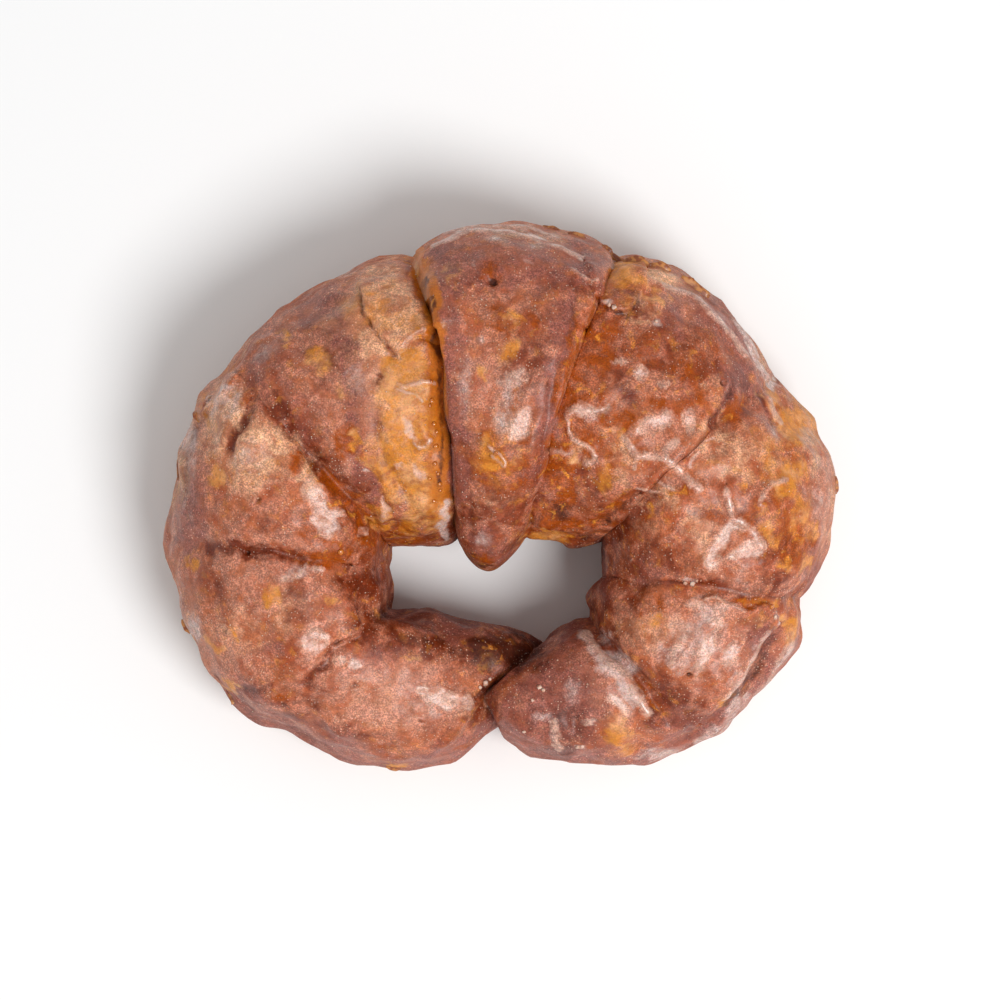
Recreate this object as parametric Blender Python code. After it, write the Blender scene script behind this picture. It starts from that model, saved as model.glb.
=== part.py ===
"""Croissant doughnut: laminated dough rolled up, bent into a ring and fried, so that its two horns meet.

The dough is one solid with a hole through it. Seen from above, nine wraps of dough follow each other round
the ring: the band, which is the point of the rolled triangle and lies on top, three wraps down each side of
it, and two horns. Seams part the wraps. Each seam is a furrow that runs from the hole over the crest to the
rim, and back underneath.

Sizes are in millimetres. +X is along the length, +Y towards the band's back, and the dough rests on z = 0.
"""

import math
from typing import NamedTuple

import bmesh
import bpy
from mathutils import Vector, noise

MM = 0.001

# How a section across the ring is shaped, from the hole to the rim.
WIDEST_LEVEL = 0.42      # share of the crest's height at which the section is widest
TOP_FULLNESS = 2.15      # superellipse exponent above the widest level; 2 is an ellipse
BOTTOM_FULLNESS = 2.7    # and below it
BASE_SINK = 1.6          # how far the underside would dip below the table, which flattens it

# The mesh: rows run round the section, columns along the ring.
TOP_ROWS = 40
BOTTOM_ROWS = 24
SEAM_GAP = 0.35          # half the width of the floor of a seam's furrow
CROWDING = 0.6           # how far the columns crowd towards the seams, from 0 to 1
FURROW_AT_SIDES = 0.4    # how deep a furrow cuts into the rim and the hole's wall, as a share of its depth

# Uneven surface of the fried dough: the size of its swellings and how far they stand out.
LUMP_SIZE, LUMP_HEIGHT = 14.0, 1.3
KNOT_SIZE, KNOT_HEIGHT = 6.0, 0.7
KNOT_SHIFT = Vector((7.3, 1.9, 4.1))    # moves the knots' noise, so that they don't follow the lumps


class Seam(NamedTuple):
    """A furrow between two wraps, as points seen from above, at the hole, on the crest and at the rim.

    strength is how deep it is there, as shares of the depth that the wraps beside it give.
    """

    hole: tuple
    crest: tuple
    rim: tuple
    strength: tuple = (1, 1, 1)


class Edge(NamedTuple):
    """How a wrap rounds down into a seam: how deep, and over what length."""

    depth: float
    length: float


class Wrap(NamedTuple):
    """One turn of dough between two seams, in the order round the ring."""

    name: str
    columns: int         # mesh columns along it
    first_height: float  # crest height at its first seam
    last_height: float   # and at its last
    rim_bulge: float     # how far its rim stands out beyond the line between the seams' ends
    rim_lean: float      # how far that bulge leans towards the last seam, from -1 to 1
    hole_bulge: float    # how far its inner edge stands out into the hole
    first_edge: Edge
    last_edge: Edge


class Crag(NamedTuple):
    """A knob or flake that stands out of the crust, at a point of its surface."""

    x: float
    y: float
    z: float
    radius: float
    height: float


# Anticlockwise from where the horns meet; wrap i lies between seam i and seam i + 1.
SEAMS = (
    Seam((8.4, -24.6), (-1.5, -33.6), (-0.6, -41.2)),                    # between the horns' tips
    Seam((15.5, -21.5), (24.0, -30.9), (35.9, -42.4), (0.8, 1, 0.5)),
    Seam((17.6, -14.3), (35.5, -16.0), (52.0, -18.8), (0.4, 1, 0.9)),
    Seam((16.9, -8.7), (29.3, 6.1), (47.0, 21.2), (1, 0.7, 0.6)),
    Seam((3.9, -7.5), (11.0, 18.6), (19.6, 41.8), (0.6, 0.7, 1)),        # the band's right edge
    Seam((-7.5, -7.4), (-9.6, 22.0), (-15.0, 42.4), (0.7, 1, 1)),        # the band's left edge
    Seam((-18.1, -8.9), (-34.3, 9.9), (-46.8, 23.8), (1.2, 1, 0.3)),
    Seam((-19.1, -12.9), (-36.1, -9.6), (-57.2, -7.0), (0.8, 0.7, 0.3)),
    Seam((-18.9, -19.8), (-30.0, -27.2), (-46.1, -37.1), (1, 0.3, 0.2)),
)
WRAPS = (
    Wrap("right_horn", 12, 26.5, 30.0, 5.0, -0.1, 0.9, Edge(3.2, 8.0), Edge(1.8, 5.0)),
    Wrap("right_lower", 9, 32.5, 35.0, 3.4, 0.5, 1.0, Edge(1.8, 5.0), Edge(1.3, 3.0)),
    Wrap("right_middle", 10, 36.0, 39.0, 7.6, -0.25, 0.0, Edge(2.6, 6.5), Edge(2.6, 6.0)),
    Wrap("right_upper", 10, 40.5, 42.0, 5.0, 0.3, 0.0, Edge(1.6, 5.0), Edge(2.4, 4.0)),
    Wrap("band", 12, 44.5, 45.0, 5.0, 0.0, 5.2, Edge(1.2, 2.4), Edge(1.0, 1.8)),
    Wrap("left_upper", 11, 42.5, 40.5, 2.8, 0.0, 0.5, Edge(4.0, 6.0), Edge(2.4, 8.0)),
    Wrap("left_middle", 9, 39.5, 37.0, 2.8, 0.0, 0.0, Edge(2.8, 4.5), Edge(1.5, 6.0)),
    Wrap("left_lower", 8, 36.0, 33.5, 3.2, 0.0, 0.0, Edge(1.5, 6.0), Edge(1.4, 6.0)),
    Wrap("left_horn", 13, 33.0, 24.0, 7.6, 0.5, 0.6, Edge(1.4, 6.0), Edge(4.8, 10.0)),
)
CRAGS = (
    Crag(53.5, 12.5, 16.0, 4.0, 1.2),     # golden knob on the right rim
    Crag(21.0, 36.5, 32.0, 4.5, 1.3),     # fan of a flake beside the band
    Crag(8.0, -4.5, 30.0, 3.0, 1.0),      # lump under the band's right edge
    Crag(-50.0, 16.0, 24.0, 4.0, 1.0),    # folded flake on the left rim
    Crag(21.5, -39.0, 17.0, 4.0, 1.0),    # knob at the foot of the right horn
)


def blend(first, last, share):
    """The value or vector at this share of the way from first to last."""
    return first * (1 - share) + last * share


def signed_power(value, power):
    """A power that keeps the sign, as a superellipse needs."""
    return math.copysign(abs(value) ** power, value)


def seam_point(seam, across):
    """The seam's point seen from above; across is -1 at the hole, 0 on the crest and 1 at the rim."""
    hole, crest, rim = (Vector(p) for p in (seam.hole, seam.crest, seam.rim))
    return crest + across * (rim - hole) / 2 + across**2 * ((rim + hole) / 2 - crest)


def outward(first, last):
    """The unit vector square to the line from first to last, on its right-hand side."""
    run = last - first
    return Vector((run.y, -run.x)).normalized()


def plan_point(index, along, across, under):
    """A point of wrap number index seen from above.

    along is 0 at its first seam and 1 at its last. under is 0 above the widest level and grows to 1 at the
    base, where the bulge into the hole has faded, so that the band's tip hangs free.
    """
    wrap, first, last = WRAPS[index], SEAMS[index], SEAMS[(index + 1) % len(SEAMS)]
    point = blend(seam_point(first, across), seam_point(last, across), along)
    swell = 4 * along * (1 - along)
    rim_swell = swell * (1 + wrap.rim_lean * (2 * along - 1))
    rim_side, hole_side = (1 + across) / 2, (1 - across) / 2
    point += outward(Vector(first.rim), Vector(last.rim)) * wrap.rim_bulge * rim_swell * rim_side
    point -= outward(Vector(first.hole), Vector(last.hole)) * wrap.hole_bulge * swell * hole_side * (1 - under)
    return point


def furrow(seam, edge, distance, across):
    """How far the surface lies below the wrap's full height at this distance from a seam: a quarter round."""
    if distance >= edge.length:
        return 0.0
    hole, crest, rim = seam.strength
    strength = crest + across * (rim - hole) / 2 + across**2 * ((rim + hole) / 2 - crest)
    return strength * edge.depth * (1 - math.sqrt(1 - (1 - distance / edge.length) ** 2))


def relief(point):
    """How far the uneven crust stands out at a point."""
    lumps = LUMP_HEIGHT * noise.noise(point / LUMP_SIZE)
    knots = KNOT_HEIGHT * noise.noise(point / KNOT_SIZE + KNOT_SHIFT)
    crags = sum(
        crag.height * math.exp(-((point - Vector((crag.x, crag.y, crag.z))).length / crag.radius) ** 2)
        for crag in CRAGS
    )
    return lumps + knots + crags


def surface_point(index, along, turn):
    """The point of the dough on wrap number index. turn goes round the section, from 0 at the rim over the
    crest at a quarter turn to the hole, and back underneath."""
    wrap = WRAPS[index]
    across_part, up_part = math.cos(turn), math.sin(turn)
    above = up_part >= 0
    power = 2 / (TOP_FULLNESS if above else BOTTOM_FULLNESS)
    across, rise = signed_power(across_part, power), signed_power(up_part, power)
    height = blend(wrap.first_height, wrap.last_height, along)
    level = WIDEST_LEVEL * height
    reach = height - level if above else level + BASE_SINK
    under = 0.0 if above else abs(rise)
    plan = plan_point(index, along, across, under)
    base = plan.to_3d() + Vector((0, 0, level + reach * rise))

    rim, hole = plan_point(index, along, 1, under), plan_point(index, along, -1, under)
    half_width = (rim - hole).length / 2
    away = (rim - hole).normalized().to_3d() * signed_power(across_part, 2 - power) / half_width
    normal = (away + Vector((0, 0, signed_power(up_part, 2 - power) / reach))).normalized()

    length = (plan_point(index, 1, across, 0) - plan_point(index, 0, across, 0)).length
    first, last = SEAMS[index], SEAMS[(index + 1) % len(SEAMS)]
    inset = furrow(first, wrap.first_edge, along * length, across)
    inset += furrow(last, wrap.last_edge, (1 - along) * length, across)
    point = base + normal * (relief(base) - inset * blend(FURROW_AT_SIDES, 1, abs(up_part)))
    point.z = max(point.z, 0.0)
    return point


def column_places():
    """(wrap number, share along it) for each mesh column, closer together beside the seams."""
    places = []
    for index, wrap in enumerate(WRAPS):
        length = (plan_point(index, 1, 0, 0) - plan_point(index, 0, 0, 0)).length
        gap = SEAM_GAP / length
        for column in range(wrap.columns):
            even = column / (wrap.columns - 1)
            eased = (1 - math.cos(math.pi * even)) / 2
            places.append((index, gap + (1 - 2 * gap) * blend(even, eased, CROWDING)))
    return places


def row_turn(row):
    """The angle round the section of a mesh row."""
    if row < TOP_ROWS:
        return math.pi * row / TOP_ROWS
    return math.pi * (1 + (row - TOP_ROWS) / BOTTOM_ROWS)


def ring_index(angle, count):
    """The number of the column or row at this angle of a ring of count even steps."""
    return round(angle / math.tau * count) % count


def build_dough():
    """Spins a plain ring and carries each of its points to its place on the dough."""
    places, rows = column_places(), TOP_ROWS + BOTTOM_ROWS
    columns = len(places)
    ring_radius, tube_radius = 2.0, 1.0
    bm = bmesh.new()
    made = bmesh.ops.create_circle(bm, segments=rows, radius=tube_radius)
    for vert in made["verts"]:
        angle = math.atan2(vert.co.y, vert.co.x)
        vert.co = (ring_radius + math.cos(angle), 0, math.sin(angle))
    bmesh.ops.spin(
        bm, geom=bm.verts[:] + bm.edges[:], axis=(0, 0, 1), cent=(0, 0, 0),
        angle=math.tau, steps=columns, use_merge=True, use_duplicate=False,
    )
    for vert in bm.verts:
        out = math.hypot(vert.co.x, vert.co.y) - ring_radius
        index, along = places[ring_index(math.atan2(vert.co.y, vert.co.x), columns)]
        row = ring_index(math.atan2(vert.co.z, out), rows)
        vert.co = surface_point(index, along, row_turn(row))
    stand_at_origin(bm)
    bmesh.ops.scale(bm, vec=(MM, MM, MM), verts=bm.verts)
    bmesh.ops.recalc_face_normals(bm, faces=bm.faces)
    mesh = bpy.data.meshes.new("croissant_doughnut")
    bm.to_mesh(mesh)
    bm.free()
    mesh.shade_smooth()
    dough = bpy.data.objects.new("croissant_doughnut", mesh)
    bpy.context.scene.collection.objects.link(dough)
    return dough


def stand_at_origin(bm):
    """Moves the mesh so that the middle of its box, seen from above, is the origin."""
    for axis in (0, 1):
        places = [vert.co[axis] for vert in bm.verts]
        middle = (min(places) + max(places)) / 2
        for vert in bm.verts:
            vert.co[axis] -= middle


def glazed_crust():
    """Reddish brown fried crust under a thin sugar glaze."""
    material = bpy.data.materials.new("glazed_crust")
    material.use_nodes = True
    shader = material.node_tree.nodes["Principled BSDF"]
    shader.inputs["Base Color"].default_value = (0.44, 0.18, 0.11, 1)
    shader.inputs["Roughness"].default_value = 0.4
    shader.inputs["Metallic"].default_value = 0.0
    return material


for old in list(bpy.data.objects):
    bpy.data.objects.remove(old)
build_dough().data.materials.append(glazed_crust())
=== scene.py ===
"""Croissant doughnut, glazed: the looks of a ring of nine wraps of fried laminated dough.

The dough's form is worked out once more on a fine mesh, from the same seams and wraps as the solid. Folds,
blisters, burst bubbles and peeled edges then stand out of it, and float attributes say where the sugar glaze
is thin, milky, syrupy or golden, and where shade and highlights are painted into the crust's colour. Crumbs,
drops of syrup and peeled flakes are small pieces of their own.

Sizes are in millimetres until a mesh is finished. +X is along the length, +Y towards the band's back, and
the dough rests on z = 0.
"""

import logging
import math
import random
from dataclasses import dataclass, field
from enum import Enum

import bmesh
import bpy
import numpy as np
from mathutils import Matrix, Vector, noise
from mathutils.bvhtree import BVHTree

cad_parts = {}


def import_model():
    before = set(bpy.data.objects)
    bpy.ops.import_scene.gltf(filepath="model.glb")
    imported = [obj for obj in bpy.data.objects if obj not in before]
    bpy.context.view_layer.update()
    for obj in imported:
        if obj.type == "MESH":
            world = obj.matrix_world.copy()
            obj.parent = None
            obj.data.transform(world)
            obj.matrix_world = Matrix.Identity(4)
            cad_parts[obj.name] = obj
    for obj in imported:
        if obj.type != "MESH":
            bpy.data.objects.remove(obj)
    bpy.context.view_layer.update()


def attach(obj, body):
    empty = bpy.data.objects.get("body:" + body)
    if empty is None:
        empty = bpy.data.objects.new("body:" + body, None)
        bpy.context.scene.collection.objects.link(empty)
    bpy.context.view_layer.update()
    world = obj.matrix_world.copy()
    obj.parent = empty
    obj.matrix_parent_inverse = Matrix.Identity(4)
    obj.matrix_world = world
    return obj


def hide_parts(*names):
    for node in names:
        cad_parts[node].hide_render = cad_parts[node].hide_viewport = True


LOG = logging.getLogger("croissant_doughnut")
MM = 0.001
NODE = "croissant_doughnut"
SEED = 41

NARROW = 0.62                # a fold narrower than this needs a finer mesh
FINE_WIDTHS = 2              # how many of its widths round it
SHOULDER = 15.0              # the level above which the dough has fine folds
FACET_DEPTH = 0.7            # the furthest that a flat place moves the crust
FACET_LEAN = (0.22, -0.20)   # how a flat place slopes along x and y
FACET_CORE = 0.5             # the part of a flat place that gives it its level

# Where a feature ends: up to the first number it is whole, and past the second there is none of it. Both are
# in shares of its width.
RIDGE_EDGE = (0.4, 1.3)
CREST_EDGE = (0.3, 0.9)
FACET_EDGE = (0.75, 1.2)
PIT_EDGE = (0.4, 1.1)
PATCH_EDGE = (0.2, 1.7)
STREAK_EDGE = (0.4, 1.2)

Tint = tuple[float, float, float]
Span = tuple[float, float]
Climb = tuple[float, ...]
Path = tuple[tuple[float, float], ...]
Numbers = float | np.ndarray


# ---------------------------------------------------------------- numbers and noise


def blend(first: Numbers, last: Numbers, share: Numbers) -> Numbers:
    """The value or array at this share of the way from first to last."""
    return first * (1 - share) + last * share


def signed_power(value: np.ndarray, power: Numbers) -> np.ndarray:
    """A power that keeps the sign, as a superellipse needs."""
    return np.sign(value) * np.abs(value) ** power


def smooth_step(low: float, high: float, value: np.ndarray) -> np.ndarray:
    """0 below low, 1 above high, with an eased climb between them."""
    share = np.clip((value - low) / (high - low), 0.0, 1.0)
    return share * share * (3 - 2 * share)


def inside(distance: np.ndarray, edge: Span, width: float = 1.0) -> np.ndarray:
    """1 inside a feature's edge and 0 outside it, where the edge is given in shares of its width."""
    return 1 - smooth_step(edge[0] * width, edge[1] * width, distance)


def through(hole: Numbers, crest: Numbers, rim: Numbers, across: np.ndarray) -> np.ndarray:
    """The parabola that gives hole where across is -1, crest where it is 0 and rim where it is 1."""
    return crest + across * (rim - hole) / 2 + across**2 * ((rim + hole) / 2 - crest)


def unit(vectors: np.ndarray) -> np.ndarray:
    """The vectors at length 1."""
    return vectors / np.linalg.norm(vectors, axis=-1, keepdims=True)


def noise_at(points: np.ndarray, size: float, shift: Numbers = 0.0) -> np.ndarray:
    """Smooth noise, about -1 to 1, at each point.

    Args:
        points: Places, in millimetres, with x, y and z in the last axis.
        size: Width of one swelling.
        shift: Moves the pattern, so that two layers of noise differ.

    Returns:
        One value for each point.
    """
    flat = points.reshape(-1, 3) / size + shift
    values = [noise.noise(Vector(place)) for place in flat.tolist()]
    return np.array(values).reshape(points.shape[:-1])


def linked(name: str, data: bpy.types.ID) -> bpy.types.Object:
    """Makes an object at the origin of the scene.

    Args:
        name: Its name.
        data: Its mesh, light or camera.

    Returns:
        The object.
    """
    made = bpy.data.objects.new(name, data)
    bpy.context.scene.collection.objects.link(made)
    return made


# ---------------------------------------------------------------- the dough's form


@dataclass(frozen=True)
class Seam:
    """A furrow between two wraps, as points seen from above, at the hole, on the crest and at the rim.

    strength is how deep it is there, as shares of the depth that the wraps beside it give. soft is 0 where
    the wraps meet in a sharp line and 1 where their skins have fried together into a rounded valley.
    """

    hole: tuple[float, float]
    crest: tuple[float, float]
    rim: tuple[float, float]
    strength: tuple[float, float, float] = (1, 1, 1)
    soft: float = 0.0


@dataclass(frozen=True)
class Edge:
    """How a wrap rounds down into a seam: how deep, and over what length."""

    depth: float
    length: float


@dataclass(frozen=True)
class Wrap:
    """One turn of dough between two seams, in the order round the ring."""

    name: str
    columns: int
    first_height: float
    last_height: float
    rim_bulge: float
    rim_lean: float
    hole_bulge: float
    first_edge: Edge
    last_edge: Edge
    wrinkling: float = 1.0


@dataclass(frozen=True)
class Crag:
    """A knob or flake that stands out of the crust, at a point of its surface."""

    x: float
    y: float
    z: float
    radius: float
    height: float


SEAMS = (
    Seam((8.4, -24.6), (-1.5, -33.6), (-0.6, -41.2)),
    Seam((15.5, -21.5), (24.0, -30.9), (35.9, -42.4), (0.8, 1, 0.5), 0.3),
    Seam((17.6, -14.3), (35.5, -16.0), (52.0, -18.8), (0.4, 1, 0.9)),
    Seam((16.9, -8.7), (29.3, 6.1), (47.0, 21.2), (1, 0.7, 0.6), 0.8),
    Seam((3.9, -7.5), (11.0, 18.6), (19.6, 41.8), (0.6, 0.55, 1), 0.3),
    Seam((-7.5, -7.4), (-9.6, 22.0), (-15.0, 42.4), (0.7, 1, 1)),
    Seam((-18.1, -8.9), (-34.3, 9.9), (-46.8, 23.8), (1.2, 1, 0.3), 0.4),
    Seam((-19.1, -12.9), (-36.1, -9.6), (-57.2, -7.0), (0.8, 0.7, 0.3), 0.8),
    Seam((-18.9, -19.8), (-30.0, -27.2), (-46.1, -37.1), (1, 0.3, 0.2), 1.0),
)
WRAPS = (
    Wrap("right_horn", 50, 26.5, 30.0, 5.0, -0.1, 0.9, Edge(3.2, 8.0), Edge(1.8, 5.0), 0.8),
    Wrap("right_lower", 42, 32.5, 35.0, 3.4, 0.5, 1.0, Edge(1.8, 5.0), Edge(1.3, 3.0), 1.0),
    Wrap("right_middle", 48, 36.0, 39.0, 7.6, -0.25, 0.0, Edge(2.6, 6.5), Edge(2.6, 6.0), 1.0),
    Wrap("right_upper", 48, 40.5, 42.0, 5.0, 0.3, 0.0, Edge(1.6, 5.0), Edge(2.4, 4.0), 0.9),
    Wrap("band", 48, 44.5, 45.0, 5.0, 0.0, 5.2, Edge(1.2, 2.4), Edge(1.0, 1.8), 0.35),
    Wrap("left_upper", 52, 42.5, 40.5, 2.8, 0.0, 0.5, Edge(4.0, 6.0), Edge(2.4, 8.0), 0.7),
    Wrap("left_middle", 44, 39.5, 37.0, 2.8, 0.0, 0.0, Edge(2.8, 4.5), Edge(1.5, 6.0), 0.8),
    Wrap("left_lower", 38, 36.0, 33.5, 3.2, 0.0, 0.0, Edge(1.5, 6.0), Edge(1.4, 6.0), 0.9),
    Wrap("left_horn", 54, 33.0, 24.0, 7.6, 0.5, 0.6, Edge(1.4, 6.0), Edge(4.8, 10.0), 0.7),
)
CRAGS = (
    Crag(53.5, 12.5, 16.0, 4.0, 1.2),
    Crag(21.0, 36.5, 32.0, 4.5, 1.3),
    Crag(8.0, -4.5, 30.0, 3.0, 1.0),
    Crag(-50.0, 16.0, 24.0, 4.0, 1.0),
    Crag(21.5, -39.0, 17.0, 4.0, 1.0),
)


@dataclass
class DoughForm:
    """The ring of wraps as a surface, before any fine relief."""

    widest_level: float = 0.42
    top_fullness: float = 2.15
    bottom_fullness: float = 2.7
    base_sink: float = 1.6
    top_rows: int = 132
    bottom_rows: int = 44
    seam_gap: float = 0.35
    wander_size: float = 6.5
    wander: float = 0.9
    wander_shifts: Span = (12.4, 15.8)
    crowding: float = 0.6
    furrow_at_sides: float = 0.4
    lump_size: float = 14.0
    lump_height: float = 1.3
    knot_size: float = 6.0
    knot_height: float = 0.7
    knot_shift: tuple[float, float, float] = (7.3, 1.9, 4.1)

    @staticmethod
    def seam_line(seam: Seam, across: np.ndarray) -> np.ndarray:
        """Points of a seam seen from above.

        Args:
            seam: The seam.
            across: -1 at the hole, 0 on the crest and 1 at the rim.

        Returns:
            x and y for each value of across.
        """
        hole, crest, rim = (np.array(point, float) for point in (seam.hole, seam.crest, seam.rim))
        return through(hole, crest, rim, across[..., None])

    @staticmethod
    def outward(first: tuple[float, float], last: tuple[float, float]) -> np.ndarray:
        """The unit vector square to the line from first to last, on its right-hand side."""
        run = np.array(last, float) - np.array(first, float)
        return unit(np.array((run[1], -run[0])))

    def plan(self, index: int, along: np.ndarray, across: np.ndarray, under: np.ndarray) -> np.ndarray:
        """Points of one wrap seen from above.

        Args:
            index: The wrap's number.
            along: 0 at its first seam and 1 at its last.
            across: -1 at the hole and 1 at the rim.
            under: 0 above the widest level, growing to 1 at the base.

        Returns:
            x and y for each point.
        """
        wrap, first, last = WRAPS[index], SEAMS[index], SEAMS[(index + 1) % len(SEAMS)]
        share = along[..., None]
        points = blend(self.seam_line(first, across), self.seam_line(last, across), share)
        swell = 4 * along * (1 - along)
        rim_swell = swell * (1 + wrap.rim_lean * (2 * along - 1)) * wrap.rim_bulge * (1 + across) / 2
        hole_swell = swell * wrap.hole_bulge * (1 - under) * (1 - across) / 2
        points = points + rim_swell[..., None] * self.outward(first.rim, last.rim)
        return points - hole_swell[..., None] * self.outward(first.hole, last.hole)

    @staticmethod
    def furrow(seam: Seam, edge: Edge, distance: np.ndarray, across: np.ndarray) -> np.ndarray:
        """How far the surface lies below the wrap's full height beside a seam.

        Args:
            seam: The seam.
            edge: How the wrap rounds down into it.
            distance: How far each point lies from the seam.
            across: -1 at the hole, 0 on the crest and 1 at the rim.

        Returns:
            The depth at each point: a quarter round beside a sharp seam, a wave beside a soft one.
        """
        strength = through(*seam.strength, across)
        share = np.clip(distance / edge.length, 0, 1)
        sharp = 1 - np.sqrt(1 - (1 - share) ** 2)
        rounded = (1 + np.cos(math.pi * share)) / 2
        return strength * edge.depth * blend(sharp, rounded, seam.soft)

    def relief(self, points: np.ndarray) -> np.ndarray:
        """How far the uneven crust stands out.

        Args:
            points: Places on the smooth form.

        Returns:
            The height at each point.
        """
        height = self.lump_height * noise_at(points, self.lump_size)
        height += self.knot_height * noise_at(points, self.knot_size, np.array(self.knot_shift))
        for crag in CRAGS:
            reach = np.linalg.norm(points - (crag.x, crag.y, crag.z), axis=-1) / crag.radius
            height += crag.height * np.exp(-(reach**2))
        return height

    def wrap_surface(self, index: int, along: np.ndarray, turn: np.ndarray) -> dict[str, np.ndarray]:
        """The surface of one wrap on a grid.

        Args:
            index: The wrap's number.
            along: Shares of the way along the wrap, one for each column.
            turn: Angles round the section, one for each row: 0 at the rim, over the crest, to the hole.

        Returns:
            Grids of points, of the furrows' depth, and of the lengths along the wrap and across it.
        """
        wrap = WRAPS[index]
        along, turn = along[:, None], turn[None, :]
        across_part, up_part = np.cos(turn), np.sin(turn)
        above = up_part >= 0
        power = 2 / np.where(above, self.top_fullness, self.bottom_fullness)
        across, rise = signed_power(across_part, power), signed_power(up_part, power)
        height = blend(wrap.first_height, wrap.last_height, along)
        level = self.widest_level * height
        reach = np.where(above, height - level, level + self.base_sink)
        under = np.where(above, 0.0, np.abs(rise))
        plan = self.plan(index, along, across, under)
        base = np.concatenate([plan, (level + reach * rise)[..., None]], axis=-1)

        ones = np.ones_like(across)
        span = self.plan(index, along, ones, under) - self.plan(index, along, -ones, under)
        width = np.linalg.norm(span, axis=-1)
        away = span / width[..., None] * (signed_power(across_part, 2 - power) / (width / 2))[..., None]
        upward = (signed_power(up_part, 2 - power) / reach)[..., None]
        normal = unit(np.concatenate([away, upward], axis=-1))

        ends = [self.plan(index, np.full_like(across, end), across, 0 * across) for end in (0.0, 1.0)]
        length = np.linalg.norm(ends[1] - ends[0], axis=-1)
        first, last = SEAMS[index], SEAMS[(index + 1) % len(SEAMS)]
        inset = self.furrow(first, wrap.first_edge, along * length, across)
        inset = inset + self.furrow(last, wrap.last_edge, (1 - along) * length, across)
        side = blend(self.furrow_at_sides, 1.0, np.abs(up_part))
        points = base + normal * (self.relief(base) - inset * side)[..., None]
        points[..., 2] = np.maximum(points[..., 2], 0.0)
        return {
            "point": points,
            "inset": inset,
            "along": along * length,
            "across": across * width / 2,
            "wrinkling": np.full(inset.shape, wrap.wrinkling),
        }

    def columns(self, index: int) -> np.ndarray:
        """Where a wrap's mesh columns stand, closer together beside the seams.

        Args:
            index: The wrap's number.

        Returns:
            Shares of the way along the wrap.
        """
        middle = np.zeros(1)
        ends = [self.plan(index, np.array([end]), middle, middle)[0] for end in (0.0, 1.0)]
        gap = self.seam_gap / np.linalg.norm(ends[1] - ends[0])
        even = np.linspace(0.0, 1.0, WRAPS[index].columns)
        eased = (1 - np.cos(math.pi * even)) / 2
        return gap + (1 - 2 * gap) * blend(even, eased, self.crowding)

    def rows(self) -> np.ndarray:
        """Where the mesh rows lie round the section.

        Returns:
            Their angles, from the rim over the crest and the hole to the underside.
        """
        top = np.linspace(0, math.pi, self.top_rows, endpoint=False)
        bottom = np.linspace(math.pi, math.tau, self.bottom_rows, endpoint=False)
        return np.concatenate([top, bottom])

    def surface(self) -> dict[str, np.ndarray]:
        """The whole ring on one grid, with a row of the grid for each mesh column.

        Returns:
            Grids of the same values as a wrap's, with the middle of the ring at the origin.
        """
        turn = self.rows()
        parts = [self.wrap_surface(index, self.columns(index), turn) for index in range(len(WRAPS))]
        grid = {name: np.concatenate([part[name] for part in parts]) for name in parts[0]}
        points = grid["point"]
        sway = [noise_at(points, self.wander_size, shift) for shift in self.wander_shifts]
        points[..., :2] += self.wander * np.stack(sway, axis=-1)
        low, high = points.min(axis=(0, 1)), points.max(axis=(0, 1))
        points[..., :2] -= ((low + high) / 2)[:2]
        return grid


# ---------------------------------------------------------------- what stands out of the crust


def path_distance(points: np.ndarray, path: Path) -> tuple[np.ndarray, np.ndarray]:
    """How far each point lies from a line of points, seen from above.

    Args:
        points: Places, with x and y first.
        path: The line's points.

    Returns:
        The distances, and the same distances with a sign: above 0 on the path's left.
    """
    nearest = np.full(len(points), np.inf)
    signed = np.full(len(points), np.inf)
    corners = np.array(path, float)
    for start, end in zip(corners[:-1], corners[1:]):
        run = end - start
        offset = points[:, :2] - start
        share = np.clip(offset @ run / (run @ run), 0.0, 1.0)
        distance = np.linalg.norm(offset - share[:, None] * run, axis=1)
        side = np.sign(run[0] * offset[:, 1] - run[1] * offset[:, 0])
        closer = distance < nearest
        nearest = np.where(closer, distance, nearest)
        signed = np.where(closer, side * distance, signed)
    return nearest, signed


def oval_reach(points: np.ndarray, oval: "Dome | Patch") -> np.ndarray:
    """How far each point lies from an oval's middle, as a share of the oval's radius that way.

    Args:
        points: Places, with x and y first.
        oval: What has a middle, a length and a width, both as radii, and an angle in degrees.

    Returns:
        A share for each point, 1 on the oval's edge.
    """
    turn = math.radians(oval.angle)
    east, north = points[:, 0] - oval.x, points[:, 1] - oval.y
    long_way = east * math.cos(turn) + north * math.sin(turn)
    short_way = north * math.cos(turn) - east * math.sin(turn)
    return np.hypot(long_way / oval.length, short_way / oval.width)


@dataclass(frozen=True)
class Line:
    """A feature that follows a line of points seen from above."""

    path: Path

    def distance(self, points: np.ndarray) -> np.ndarray:
        """How far each point lies from it."""
        return path_distance(points, self.path)[0]


@dataclass(frozen=True)
class Spot:
    """A feature round a point seen from above."""

    x: float
    y: float

    def distance(self, points: np.ndarray) -> np.ndarray:
        """How far each point lies from its middle."""
        return np.hypot(points[:, 0] - self.x, points[:, 1] - self.y)


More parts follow.
